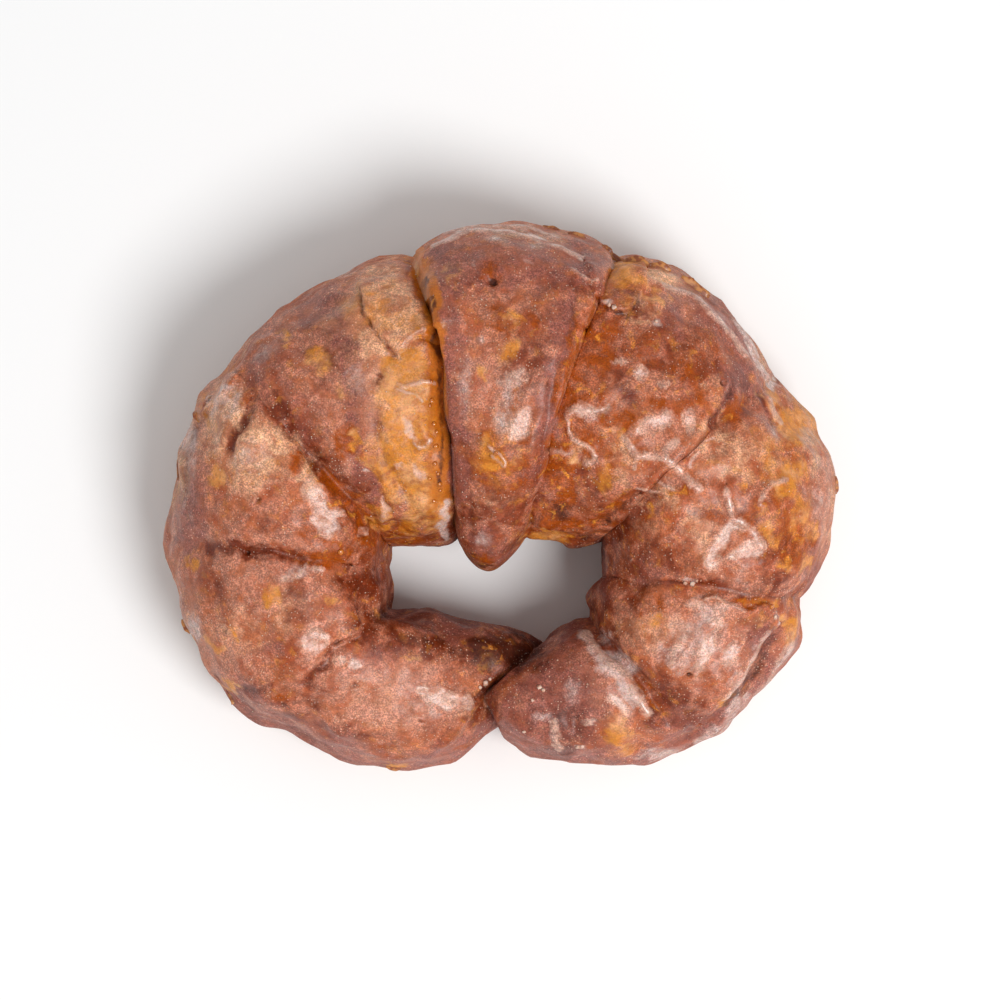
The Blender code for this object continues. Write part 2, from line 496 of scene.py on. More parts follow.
@dataclass(frozen=True)
class Ridge(Line):
    """A fold that stands out along a line, where glaze gathers and a highlight is painted; a crease, with
    painted shade, where height is below 0.
    """

    width: float
    height: float

    def fine_reach(self) -> float:
        """How far round it the mesh has to be finer."""
        return FINE_WIDTHS * self.width if self.width < NARROW else 0.0

    def rise(self, points: np.ndarray) -> np.ndarray:
        """How far it lifts each point."""
        return self.height * np.exp(-((self.distance(points) / self.width) ** 2))

    def cover(self, points: np.ndarray) -> np.ndarray:
        """How much glaze it holds at each point, or how deep in its crease the point is, from 0 to 1; the
        glaze gets a painted highlight, the crease painted shade.
        """
        return inside(self.distance(points), RIDGE_EDGE, self.width)

    def crest(self, points: np.ndarray) -> np.ndarray:
        """How near each point is to the crest of the fold, where a highlight is painted, from 0 to 1; less
        where the fold is low.
        """
        sharpness = np.clip(2 * self.height, 0.0, 1.0)
        return sharpness * inside(self.distance(points), CREST_EDGE, self.width)


@dataclass(frozen=True)
class Step(Line):
    """The edge of a skin of dough that lies on the one beside it. The skin is on the left of the path."""

    height: float
    run: float
    wall: float = 0.25
    fine_walls: int = 3

    def fine_reach(self) -> float:
        """How far round it the mesh has to be finer."""
        return self.fine_walls * self.wall

    def rise(self, points: np.ndarray) -> np.ndarray:
        """How far it lifts each point.

        Args:
            points: Places, with x and y first.

        Returns:
            The lift: a short wall, and a skin that sinks away behind it.
        """
        distance, signed = path_distance(points, self.path)
        fade = np.exp(-((distance / self.run) ** 2))
        return self.height * smooth_step(-self.wall, self.wall, signed) * fade


@dataclass(frozen=True)
class Dome(Spot):
    """A swelling with an oval foot; a dent where height is below 0."""

    length: float
    width: float
    height: float
    angle: float = 0.0

    def fine_reach(self) -> float:
        """How far round it the mesh has to be finer."""
        return FINE_WIDTHS * self.width if self.width < NARROW else 0.0

    def rise(self, points: np.ndarray) -> np.ndarray:
        """How far it lifts each point."""
        return self.height * np.exp(-(oval_reach(points, self) ** 3))


@dataclass(frozen=True)
class Facet(Dome):
    """A flat place in the glaze, as FACET_LEAN slopes. height is how far it is flattened, from 0 to 1."""

    def fine_reach(self) -> float:
        """How far round it the mesh has to be finer: nowhere."""
        return 0.0

    def rise(self, points: np.ndarray) -> np.ndarray:
        """How far it lifts each point to bring it to the flat place's plane.

        Args:
            points: Places, with x, y and z in a row for each.

        Returns:
            The lift, which is below 0 where the crust stands above the plane.
        """
        east, north, up = (points - (self.x, self.y, 0)).T
        on_top = (oval_reach(points, self) < FACET_CORE) & (up > SHOULDER)
        level = np.median(up[on_top]) if on_top.any() else 0.0
        plane = level - FACET_LEAN[0] * east - FACET_LEAN[1] * north
        return self.height * np.clip(plane - up, -FACET_DEPTH, FACET_DEPTH) * self.cover(points)

    def cover(self, points: np.ndarray) -> np.ndarray:
        """How much glaze it holds at each point, from 0 to 1, which is where its highlight is painted."""
        return inside(oval_reach(points, self), FACET_EDGE)


@dataclass(frozen=True)
class Pit(Spot):
    """A burst bubble: a small hole, darkened with painted shade, with a low lip round it."""

    radius: float
    depth: float = 0.6
    lip: float = 0.15
    lip_middle: float = 1.4
    lip_width: float = 0.4
    fine_radii: float = 2.2

    def fine_reach(self) -> float:
        """How far round it the mesh has to be finer."""
        return self.fine_radii * self.radius

    def rise(self, points: np.ndarray) -> np.ndarray:
        """How far it lifts each point.

        Args:
            points: Places, with x and y first.

        Returns:
            The lift: down in the hole, and a little up round it.
        """
        share = self.distance(points) / self.radius
        lip = self.lip * np.exp(-(((share - self.lip_middle) / self.lip_width) ** 2))
        return lip - self.depth * np.exp(-(share**4))

    def cover(self, points: np.ndarray) -> np.ndarray:
        """How deep in the hole each point lies, from 0 to 1, which is how much shade is painted there."""
        return np.clip(self.depth, 0.0, 1.0) * inside(self.distance(points) / self.radius, PIT_EDGE)


Fold = Ridge | Step | Dome | Pit

FOLDS = (
    # The wrinkled skin to the right of the band.
    Facet(14.8, 14.5, 4.2, 1.15, 1, 12),
    Ridge(((11.2, 13.9), (11.7, 12.8), (11.6, 11.2), (12.2, 9.8), (13.6, 9.1), (14.9, 8.8), (15.7, 8),
          (16.2, 6.8)), 0.46, 0.5),
    Facet(26.2, 12.3, 4, 1.8, 1, 18),
    Facet(32.4, 12.6, 2.2, 1.2, 1, 80),
    Ridge(((21.3, 9.9), (22.5, 7.8), (23.5, 7), (25.5, 7.2), (27.2, 7)), 0.8, 0.75),
    Ridge(((27.2, 7), (29, 5.8), (30.5, 4.5), (32, 2.8), (33.6, 1.6)), 0.8, 0.75),
    Ridge(((23.2, 7), (22.8, 4.9)), 0.5, 0.5),
    Ridge(((27.5, 7.2), (29.5, 9.5)), 0.9, 0.5),
    Ridge(((31.9, 6.8), (32.8, 8.2), (34.2, 9.3), (36.2, 10)), 0.28, 0.25),
    Ridge(((32.3, 4.9), (32.4, 6.3), (33.6, 7.6)), 0.28, 0.22),
    Ridge(((27.2, 2.8), (29.2, 1.4)), 0.35, 0.3),
    Ridge(((23.2, 1.3), (25, 1.5), (27.2, 1)), 0.35, 0.35),
    Dome(22.9, 11.6, 1, 1, 0.4),
    Dome(17, 11, 4.5, 1.6, -0.35),
    Facet(20, 22.8, 1.6, 0.8, 1),
    Facet(23.8, 20.8, 1.6, 0.9, 1, -40),
    Facet(28, 18.5, 1.6, 0.6, 1),
    Facet(10.8, 7.5, 2.2, 0.5, 1),
    Facet(15.2, 6.4, 1.2, 0.8, 0.8, 30),
    Dome(31.1, 7.9, 6.5, 1.7, 1.2, 47),
    Ridge(((16.3, -4.4), (18.9, -3), (21.5, -0.5), (23.5, 0.8)), 1, -0.8),
    Ridge(((35.6, 12), (37.5, 15), (39.6, 18.6)), 0.9, -0.7),
    Step(((15.8, 36.2), (16.6, 33.8), (17.8, 31.9), (19.5, 31), (21.5, 31.4), (23.5, 33), (24.7, 35.2),
          (24.8, 37.5)), 1.1, 4),
    Dome(19, 32.6, 1.3, 0.8, 0.3, -20),
    Dome(27.2, 33, 1.2, 0.8, 0.3),
    Ridge(((28, 36), (33, 34), (38, 29.5), (42, 24)), 0.6, 0.35),
    # The broad wrap on the right.
    Ridge(((38.3, 1), (38.8, -1.3), (39.4, -3.2)), 0.7, 0.5),
    Facet(40.4, -4.4, 1.7, 1.2, 1),
    Ridge(((40.5, -3.8), (42.3, -5.2), (43.6, -6.8), (44.5, -8.2)), 0.8, 0.4),
    Facet(41.4, -9.3, 3.4, 1.4, 1, 18),
    Facet(36.9, -8.6, 4.6, 1.3, 1, 68),
    Ridge(((43.8, -1.2), (44.7, 0.8), (46.2, 2.2), (48.3, 3)), 0.5, 0.45),
    Dome(46.5, -1.6, 2.6, 2.6, 0.35),
    Dome(25.5, -8.5, 4, 3, -0.4),
    Ridge(((44.2, 17.6), (45.2, 15), (46.8, 13)), 0.6, -0.45),
    Ridge(((46, 16.5), (47.4, 14), (48.3, 12.6)), 0.5, 0.3),
    # The lower wrap on the right.
    Step(((47.3, -20.6), (46.8, -18.9), (44.7, -17.9), (43.5, -18.4), (41.5, -18.9), (40.3, -18.5),
          (38.4, -17.8), (36.8, -16.4), (35.3, -16.7)), 0.9, 2.6),
    Ridge(((41.5, -18.9), (40.3, -18.5), (38.4, -17.8), (36.8, -16.6), (35.3, -16.9)), 0.35, 0.3),
    Facet(33.4, -17.9, 1.5, 1.1, 1),
    Facet(37, -20.2, 3, 1.2, 1, 85),
    Facet(35.2, -26, 4, 1.5, 1, 62),
    Facet(39.4, -26.6, 2.6, 1.2, 1, 75),
    Ridge(((31.3, -24), (29.8, -25.6), (29.3, -28.6)), 0.7, 0.45),
    Dome(37.8, -31.8, 2.6, 2.4, 0.4),
    Dome(44.3, -26.8, 3.4, 1.6, -0.6, 65),
    Ridge(((48.5, -21.5), (46.5, -26), (43.5, -31), (40, -35), (36, -39), (33, -41.5)), 1.2,
          -1),
    Ridge(((45.6, -23), (44, -27.5), (41.4, -31.6), (38.6, -34)), 0.7, 0.4),
    Ridge(((50, -25), (46.5, -31.5), (42, -37)), 0.8, 0.5),
    # The right horn.
    Ridge(((15, -23.7), (17, -26), (18.8, -28.2), (21.3, -29.2), (22.5, -31.5), (24, -34),
          (25.3, -36.8)), 0.9, 0.5),
    Ridge(((17, -23.8), (19.6, -26.6), (23, -30.2), (26.3, -34.4), (29, -38.5)), 1.3, -0.8),
    Facet(20.8, -35.8, 2.6, 1.2, 1, -40),
    Facet(15.6, -38.3, 1.5, 0.8, 1, 40),
    Dome(7, -37.5, 1.8, 1.5, 0.35),
    Dome(13.3, -38.4, 1, 2.6, -0.9),
    Dome(20.4, -40.3, 2, 3.4, 1, 10),
    Ridge(((9.4, -38.5), (10.3, -42.8)), 0.9, 0.4),
    # The left horn and the lower wraps on the left.
    Facet(-8.6, -34.7, 4.6, 2, 1, -5),
    Facet(-12.6, -33.2, 1.6, 1, 1),
    Dome(-13.6, -35.6, 1.2, 1, 0.5),
    Facet(-27, -27.4, 1.6, 1.1, 1),
    Facet(-23.9, -28.3, 1.3, 0.9, 1),
    Ridge(((-28.8, -27.2), (-28, -25.2), (-26.5, -24), (-24.4, -23.8)), 0.75, -0.6),
    Facet(-31, -24.4, 2.6, 2.4, 1),
    Ridge(((-32.8, -31.5), (-31, -29.6), (-29, -28.4)), 1, -0.6),
    Ridge(((-43.5, -32.5), (-41, -33.2), (-39.5, -32.4)), 0.8, -0.4),
    Ridge(((-49, -31), (-44.5, -35.5), (-40, -38.7), (-35, -40.5), (-31.5, -42.5)), 0.8, -0.4),
    Ridge(((-39.8, -8.3), (-37.5, -9.2), (-34.8, -9.8), (-31.5, -10.8)), 0.8, -0.6),
    Facet(-34.8, -13.1, 2, 0.7, 1, 28),
    Dome(-32.8, -11.3, 1, 0.9, 0.35),
    Facet(-30.4, -12.3, 1.3, 0.7, 1),
    # The middle wrap on the left, and its furrow.
    Facet(-30.2, -1.6, 5.6, 1.9, 1, -70),
    Facet(-26.8, -2.4, 1.3, 1.1, 1),
    Facet(-23.2, -5.8, 1.4, 0.8, 1, 20),
    Ridge(((-31.8, 7.4), (-29.8, 4.4), (-27, 1.4), (-25.3, -1.2), (-22.8, -4.8)), 1.3, -0.9),
    Ridge(((-25.2, 2), (-23.6, 0.2), (-21.6, -3), (-20.6, -5)), 0.8, -0.6),
    Dome(-26.7, -9.2, 1.3, 1.2, 0.6),
    Facet(-19.4, -1.8, 2.4, 0.8, 1, 85),
    Ridge(((-45.3, 8), (-44.6, 10.5), (-42.5, 13.4), (-41.4, 16.5)), 0.9, -0.7),
    Ridge(((-37.2, 15.6), (-35.8, 13.4), (-35, 10.5)), 0.8, -0.7),
    Dome(-41.5, 9.4, 1.6, 1.2, 0.5),
    Step(((-49, 14.5), (-46, 16.8), (-44.4, 19.4)), 0.9, 2),
    Ridge(((-48.2, 14.2), (-47, 16), (-45.8, 16.9)), 0.5, 0.4),
    Ridge(((-53.6, 1), (-53.2, 7), (-51.5, 12)), 0.9, -0.4),
    # The golden wrap on the left, with its peeled skin.
    Step(((-23.3, 34.6), (-22.6, 31), (-21.2, 28.5), (-19, 26.7), (-17.2, 24.3), (-16.2, 24.6),
          (-15.2, 26.4), (-13.8, 27.2), (-12.6, 27.7)), 0.9, 5),
    Ridge(((-23.4, 34.6), (-22.8, 31), (-21.4, 28.3), (-19.2, 26.4), (-17.4, 24.1)), 0.35, -0.6),
    Ridge(((-13.2, 26.8), (-12, 26.5), (-10.4, 26)), 0.4, -0.6),
    Ridge(((-15.9, 24.9), (-15.1, 26.5), (-13.8, 27.3), (-12.6, 27.8)), 0.3, 0.3),
    Ridge(((-16.8, 19.2), (-15.9, 18.8), (-14.4, 18.9), (-12.6, 19.3), (-11, 19)), 0.36, 0.6),
    Ridge(((-16.6, 18.2), (-15.2, 17.6), (-13.9, 17.4), (-12.9, 16.2)), 0.3, 0.5),
    Facet(-14.9, 11.3, 2.6, 0.8, 1, -65),
    Ridge(((-14.2, 9.2), (-13.2, 8.4), (-12.2, 8.6), (-11.5, 9.8)), 0.4, 0.45),
    Facet(-13.5, 4.4, 1.8, 0.9, 1, -70),
    Facet(-17, 5.6, 0.9, 0.8, 0.8),
    Dome(-17.5, 14, 2.5, 4, 0.4, 10),
    Ridge(((-20.2, 12), (-19.6, 8), (-17.5, 3.5), (-14.5, -1.5), (-11.5, -5)), 1, -0.5),
    Ridge(((-17.7, 24), (-18.6, 21.8), (-20.3, 19.2)), 0.7, -0.45),
    Facet(-18.4, 23.9, 0.9, 0.6, 1),
    # The band, with the lip along its right edge.
    Facet(3.3, 12.3, 3.2, 2.1, 1, 75),
    Facet(2.6, 19.6, 3, 1.6, 0.7, 20),
    Dome(-0.4, 6.8, 3, 3.2, 0.6),
    Ridge(((-1.5, 8.5), (0.2, 7.6), (1.3, 6.2), (1.2, 5.3)), 0.32, 0.45),
    Ridge(((-1, 7.2), (0.3, 6.2), (1, 5.2)), 0.3, 0.35),
    Ridge(((12.9, 34), (12.4, 29.5), (10.9, 25), (9.5, 20), (8.5, 15), (7.6, 8), (6.4, 2.5)),
          0.9, -0.4),
    Ridge(((12.2, 38), (14, 37.1), (15.9, 36.2)), 0.3, 0.4),
    Ridge(((-5.1, 2), (-4.8, -2), (-4.4, -6)), 0.7, -0.4),
    Ridge(((-11, 42.5), (-5, 45.2), (2, 44.8), (8, 43.2), (14, 40.4)), 0.6, 0.4),
    Ridge(((-9, 45), (-3, 46.4), (4, 46), (10, 44.2)), 0.5, 0.3),
    # Burst bubbles.
    Pit(-40.4, -0.4, 0.5), Pit(-24.4, -32.1, 0.5), Pit(-20.7, -38.2, 0.4), Pit(-13.4, -38, 0.3),
    Pit(32.4, -30.1, 0.6, 0.9), Pit(37.8, 19.4, 0.5), Pit(-42.5, -9.2, 0.5), Pit(-1.2, 36.2, 0.9, 0.9),
    Pit(38.4, 2.1, 0.3), Pit(-49.3, 16.4, 0.4), Pit(26.6, 29.4, 0.9, 0.2), Pit(-46.8, -22.9, 0.6, 0.3),
    Pit(-27.4, -37, 0.5, 0.3),
)


# ---------------------------------------------------------------- where the crust changes colour


class Coat(Enum):
    """What the crust wears at a place, painted shade and highlights too; the value is the name of its
    attribute.
    """

    BROWNED_AND_SHADE = "browned_and_shade"  # crust fried to a deep red brown, and painted shade in furrows, creases and round the hole
    AMBER = "amber"      # orange crust that shines through clear glaze
    TAN = "tan"          # pale crust under cloudy glaze
    FILM = "film"        # mauve sugar glaze
    PLUM_AND_SHADE = "plum_and_shade"        # thick grey mauve glaze, and painted shade on the steep front sides
    GOLD = "gold"        # pale fried dough that shows through
    FLANK = "flank"      # pale side with the edges of its layers, partly a painted reflection of the white surroundings
    SYRUP = "syrup"      # clear orange syrup that has run into a crease
    MILK = "milk"        # dried, milky glaze
    DARK = "dark"        # crust browned almost black, and painted shade in creases, pits and the hole
    GLOSS_AND_PAINTED_SHEEN = "painted_sheen"      # thick, glossy glaze on folds and flat places, with a highlight painted in a pale tint
    GLOSS_AND_PAINTED_GLINT = "painted_glint"      # the wet crest of a fold, with a highlight painted along it
    RIM = "rim"          # steep crust at the rim, where the glaze has run off


@dataclass(frozen=True)
class Patch:
    """An oval place that wears a coat, with a soft edge."""

    x: float
    y: float
    length: float
    width: float
    angle: float = 0.0
    strength: float = 1.0

    def cover(self, points: np.ndarray) -> np.ndarray:
        """How much of each point it covers, from 0 to its strength."""
        return self.strength * inside(oval_reach(points, self), PATCH_EDGE)


@dataclass(frozen=True)
class Streak(Line):
    """A coat along a line of points seen from above."""

    width: float
    strength: float = 1.0

    def cover(self, points: np.ndarray) -> np.ndarray:
        """How much of each point it covers, from 0 to its strength."""
        return self.strength * inside(self.distance(points), STREAK_EDGE, self.width)


def patches(*rows: tuple[float, ...]) -> tuple[Patch, ...]:
    """Patches from rows of x, y, length, width, angle and strength."""
    return tuple(Patch(*row) for row in rows)


# Where two wraps have grown together, so that their furrow gets no painted shade.
BRIDGES = patches(
    (31.1, 7.9, 6.5, 2.6, 47), (-31, 4.4, 2.8, 2, -50, 0.8), (18.8, -22.6, 2, 2, 0, 0.6),
    (-23.4, -7.4, 2.6, 2, 0, 0.6),
)
SHARP_COATS = (Coat.SYRUP, Coat.MILK, Coat.DARK, Coat.GLOSS_AND_PAINTED_GLINT)
COATS: dict[Coat, tuple[Patch | Streak, ...]] = {
    # Browned crust; some of these patches also paint shade in the seams, near the hole and along the front
    # rim.
    Coat.BROWNED_AND_SHADE: patches(
        (23.5, -11.5, 6, 4, 0, 0.7), (8.5, -35, 8, 7, 0, 0.85), (21.5, -27, 3, 6, 40, 0.6),
        (20, 0, 5, 3, 40, 0.7), (31, 24, 8, 8, 0, 0.7), (21, 26, 5, 4, 0, 0.6), (-22.5, -16, 4, 5),
        (-22, -22, 4, 2.5), (-42, -33, 5, 2, 10), (-32, -33.5, 4, 2.4, -20, 0.6),
        (-3.4, -27.2, 5, 4, 0, 1), (12, -38.5, 6, 5, 0, 0.9), (21.2, 17.8, 3, 3, 0, 0.9),
        (16.5, 22, 2.6, 5, -10, 0.8), (10.6, -1.6, 2.6, 2.4, 0, 0.9), (26.6, -37.4, 2.4, 1.8, 30, 0.9),
        (41, 20, 3, 3.4, 30, 0.9), (-40, -38.5, 6, 2.6, -12, 0.7), (20, 34, 4, 1.8, 0, 0.7),
        (-40, -5, 8, 2, 0, 0.5), (-8, -39, 5, 2, 0, 0.5), (33, -37, 4, 4), (8.9, 37.4, 2.6, 2, 0, 0.8),
        (-4.2, 35.6, 2.6, 2, 0, 0.7), (44, -23, 3, 3, 0, 0.8), (48, -9, 4, 2.5), (5, 24, 5, 9, -10, 0.7),
        (-6, -1, 2, 8, 0, 0.8), (38, -3, 4, 2.5, 0, 0.5), (30, -34, 5, 3, -45, 0.9),
        (-29, 24, 4, 8, 20, 0.6), (44, 1, 3, 4, 0, 0.6), (-48, -14, 3, 6, 0, 0.5),
        (-14, -25.5, 9, 2.4, -8, 0.8), (29, -11, 5, 3, 0, 0.6), (23, 32, 2.6, 1.7, 0, 0.9),
        (47, -15, 5, 2.2, -10, 0.8), (-13.6, -24.6, 6, 1.6, -5), (54, -13, 2.4, 4, 0, 0.6),
        (-14.6, -26.8, 4, 1.8, -5, 0.8), (7.8, 19.5, 1.8, 4, -10, 0.9), (39, 9.8, 2, 2.4, 0, 0.7),
        (31, 6.8, 3.4, 1.6, 47, 0.6), (33.6, -2.6, 2, 1.8, 0, 0.7), (33.8, -2.4, 1.8, 1.8, 0, 0.6),
        (10.8, -43.4, 4, 2.4, 0, 0.9), (43, -16.4, 3, 1.4, 0, 0.9), (24.8, 22.4, 2, 2, 0, 0.8),
        (15, 34.8, 2.6, 1.8, 0, 0.9), (-35.2, -36.4, 3.2, 1.8, 0, 0.9), (-25, -41, 9, 2.5, -12, 0.6),
        (-34, -18, 3, 4, 0, 0.5), (2, -3, 4, 3, 0, 0.7),
    ) + (
        Streak(((-37.5, 17), (-35.5, 12.5), (-34.5, 9)), 1.6),
        Streak(((-52, -7.5), (-44, -9), (-38, -8.8), (-33, -10)), 1.5, 0.9),
        Streak(((11.4, 30), (10.8, 21.4), (9.4, 12)), 1.3, 0.8),
    ),
    Coat.AMBER: patches(
        (15.6, 24, 3.4, 8, -14), (46.4, 3, 4, 8, 0, 0.6), (50, -6, 4, 6, 0, 0.9),
        (48.6, 15.4, 1.8, 1.6, 0, 0.8), (43.4, -4, 3, 4, 0, 0.7), (41.6, 1.6, 2.4, 1.8, 0, 0.8),
        (-1.6, -28, 3, 2, 0, 0.7), (-13, 15, 1.8, 4, 0, 0.8), (48.5, 9, 4, 4, 0, 0.7),
        (-13, 34, 1.6, 4, 10), (-12.4, 29, 1.2, 4, 5, 0.8), (-20.4, -2.8, 2, 2.4),
        (20, 34, 3.6, 1.6, 0, 0.8), (-13.6, 40, 2.2, 3.2, 10), (-15.4, -6.6, 2.6, 2.2, 0, 0.9),
        (-18.4, -9.6, 1.8, 3, 0, 0.7), (10, -2.6, 2.6, 2.4), (16.4, 21, 2.6, 5, -10, 0.8),
        (-11, 6, 1.4, 7, 0, 0.9), (24, 24, 4, 3, 0, 0.6), (1.6, 7.5, 5, 6, 0, 0.8), (18, 6, 2, 3, 0, 0.7),
        (22.6, 8, 1.6, 3, 0, 0.7), (33, 16, 5, 3, 30, 0.7), (28, -4, 4, 2, 0, 0.6),
        (31.5, 21.5, 3, 2.5, 0, 0.9), (36, 26, 4, 3, 0, 0.7), (15.5, 9.8, 4, 1.8, 10), (17, 12.8, 3.5, 1),
        (22, 13.2, 2, 1), (26.7, 15.8, 1.2, 1.4), (19, -2.4, 5, 2, 40), (30.5, 1, 2.4, 1.4),
        (8.5, -6.2, 5, 1.6), (12.6, -4.5, 1.6, 2), (-0.4, 6.8, 3.8, 4), (-2.4, 3.8, 2, 1.2),
        (0, 29, 5, 5, 0, 0.5), (-1, 37.8, 1.6, 2.6), (6, 30.4, 1, 1), (-2.2, -10.5, 1.8, 1.4),
        (-35, 5.6, 2.2, 2), (-26.7, -9.4, 2, 2), (-31.5, -5.5, 1.4, 3, 30), (-22, -6.5, 5, 2, -25),
        (-30, -10.8, 5, 1, -5), (26, -18.5, 3, 1.2, -20, 0.7), (39.5, 14, 1.4, 3.2, -30),
        (47, -7, 4, 3, 0, 0.8), (52.5, -7, 1.8, 5), (42, -17.5, 4, 0.9), (26.5, -35, 1.2, 3, 40),
        (-36.5, -34.5, 2.5, 1, 10, 0.9), (-7, -42, 5, 1.6, 10, 0.6), (-20, -43, 4, 1, 0, 0.6),
        (-27, 9, 1, 3, 20), (35.5, 2.5, 2, 1.4, 0, 0.6), (-24, 9.5, 1.2, 2.4, 15), (36, -3, 3, 1.6, 0, 0.8),
        (-43, 17, 1.6, 1.2, 0, 0.6),
    ) + (
        Streak(((17, 30), (15.4, 24), (14, 17), (12.6, 10), (11.4, 4), (11, -1)), 2.4),
        Streak(((12.6, 28), (11.2, 18), (9.8, 9), (9, 3)), 1.8, 0.8),
        Streak(((-28.8, 3.6), (-27.2, 1.6), (-24.8, -1.4), (-22.3, -4.6)), 1.7),
    ),
    # Pale crust; a few of these on the left also lighten crust in shade, as painted light.
    Coat.TAN: patches(
        (-17.5, 31.5, 8, 8), (-20, 22, 7, 9), (-25, 29, 4.5, 5), (-46.6, 13, 4, 6.5, -20, 0.9),
        (0.6, 12, 2.6, 3.4, 0, 0.9), (13.4, 8.8, 2, 2.6, 0, 0.9), (-31.8, 4.2, 1.8, 3, 30, 0.9),
        (24, -4, 3, 2.4, 0, 0.7), (27.6, 0.6, 3, 2, 0, 0.8), (2, 24.5, 2.2, 2.6, 0, 0.8),
        (0, 0.4, 2.6, 2, 0, 0.8), (-23.2, -6.9, 1.8, 1.6, 0, 0.8), (-52.4, 13.6, 1.8, 3.4, 20, 0.9),
        (-23, 20.5, 3, 4, 0, 0.9), (-3.6, -37, 2.6, 1.8, 0, 0.7), (-36.2, -18.4, 3, 4, 0, 0.8),
        (21, 10, 2.6, 2.4, 0, 0.8), (-40.5, 7.5, 6, 6), (40, 8, 7, 6, 0, 0.7), (26, -22.5, 6, 3.5, 0, 0.7),
        (-20, -34.5, 7, 5, 0, 0.6), (24, 31, 3, 2.4, 0, 0.8), (28, 37, 5, 1.6, -15),
        (34, -5.5, 3, 5, 20, 0.8), (20, 6.5, 3, 5, 20, 0.6), (-44, -22, 5, 5, 0, 0.6),
        (16, -32, 5, 4, 0, 0.6), (-19, 13, 4, 9, 15, 0.8), (46, 5, 3, 3, 0, 0.7),
        (36, 18.5, 2.4, 2.4, 0, 0.5),
    ),
    Coat.FILM: patches(
        (35, -24, 7, 8, 0, 0.9), (-31, -20, 4, 4, 0, 0.8), (33, 33, 5, 4, 0, 0.8), (41, -14, 5, 3, 0, 0.8),
        (0, 22, 11, 26, 0, 0.6), (-2, -2, 7, 9, 0, 0.5), (-28, 20, 8, 14, 30, 0.7), (-54, 2, 5, 16, 0, 0.9),
        (-46, -32, 14, 7, -40, 0.8), (-25, -45, 18, 4, -10, 0.7), (54.5, -3, 3, 18, 0, 0.9),
        (47, -31, 14, 4.5, 50, 0.8), (12, -34, 12, 11, 0, 0.9), (-20, -33, 17, 8, -5, 0.85),
        (30, -24, 9, 9, 0, 0.5), (38, -6, 8, 9, 0, 0.5), (-40, -12, 11, 12, 0, 0.7),
        (-26, 6, 4, 9, 35, 0.8), (32, -37, 5, 4, 0, 0.5), (17, 18, 7, 5, 0, 0.5), (28, 8, 6, 6, 0, 0.4),
    ),
    # Grey mauve glaze; the two long streaks along the front rim are painted shade.
    Coat.PLUM_AND_SHADE: patches(
        (5, 39, 8, 4.5, -10, 0.9), (-2.5, 39, 8, 5, 0, 0.8), (-38, -25, 4, 3, 20, 0.5),
        (-20, -27, 6, 2, 0, 0.5), (13.5, 40, 5, 4, -30), (38, 30, 4, 9, 42), (41, 20, 3.4, 4, 30, 0.9),
        (1, -9.6, 2.4, 1.6), (54.5, -13, 2.6, 5, 0, 0.8), (-8, -22.4, 5, 1.8, -5), (46, -24, 4, 4, 0, 0.8),
        (30, 31, 5, 3.5, 0, 0.7), (-40, 24, 6, 8, 30, 0.55), (38.6, 16.6, 1.8, 2.4, -30, 0.8),
        (-53, -2, 3, 9), (10.5, -34, 10, 9, 0, 0.95), (-27, -43, 6, 2.5, -10, 0.8),
        (26, -13, 4.5, 2, 0, 0.7), (-2.6, -7.5, 3, 2.4, 0, 0.8), (10, 28, 2.4, 8, -15, 0.7),
        (9, 12, 1, 9, -6, 0.8), (30, -38, 4, 3, -20, 0.7), (-42, -35, 7, 3, -40, 0.7),
        (18, -12, 2, 5, 10, 0.7), (45, 13, 3, 3, 0, 0.6), (-31, 33, 5, 4, 35, 0.7),
        (-33, 14, 3, 5, 25, 0.6), (11.5, -24.5, 4, 2.5, 40, 0.8),
    ) + (
        Streak(((-9, 42), (-8.2, 20), (-7.4, 2)), 2.6),
        Streak(((-25, 16), (-23.4, 8), (-21.4, 2), (-19.4, -4)), 1.9, 0.8),
        Streak(((-27, 32), (-24, 20), (-22, 12)), 2.6, 0.7),
        Streak(((-46, -38), (-36, -44), (-24, -47.5), (-12, -46), (-4, -42)), 3.4, 0.9),
        Streak(((0, -40), (8, -44), (20, -46.5), (32, -43.5), (44, -36), (52, -26)), 3.4, 0.9),
        Streak(((12, 34), (10, 24), (8, 13), (6, 4)), 1.6, 0.9),
    ),
    Coat.GOLD: patches(
        (-14.4, 26, 2.6, 6, 15, 0.5), (-22, 32, 5, 4, 30, 0.45), (-20, -3.6, 1.8, 2),
        (-24.4, 30.4, 2.4, 2, 0, 0.5), (2, 24.2, 1.8, 1.8, 0, 0.6), (-16, -5.4, 2, 1.4, 0, 0.6),
        (-19.6, 7.4, 2.6, 3.4, 0, 0.8), (-17, 2.6, 2.6, 3, 0, 0.8), (-0.4, 6.6, 3.2, 3.4, 0, 0.85),
        (47, 6, 4, 5, 0, 0.5), (-49.6, 14.4, 1.6, 3, 30, 0.6), (45.2, -5.6, 1.6, 1.2),
        (51, -3, 2.5, 4, 0, 0.6), (50, 4.5, 2, 2, 0, 0.8), (2.3, 30.2, 1.2, 1), (3.2, 24.8, 0.9, 1),
        (-2.6, 21.8, 1.2, 1), (21, 36.6, 3.4, 3.6, -20), (27, 33.4, 1.7, 1, -30), (51.5, 12.5, 3.8, 4),
        (41.6, 2.8, 1, 1.2), (48.8, 2.6, 1.8, 2.8), (46.3, -7.4, 1.3, 1.5), (53.2, -5.8, 0.9, 1.6),
        (47.6, -11.8, 1.3, 1), (51.8, -11, 1.4, 1.4), (49.8, -22.9, 1.3, 2.4), (38.6, -35, 2, 1.2),
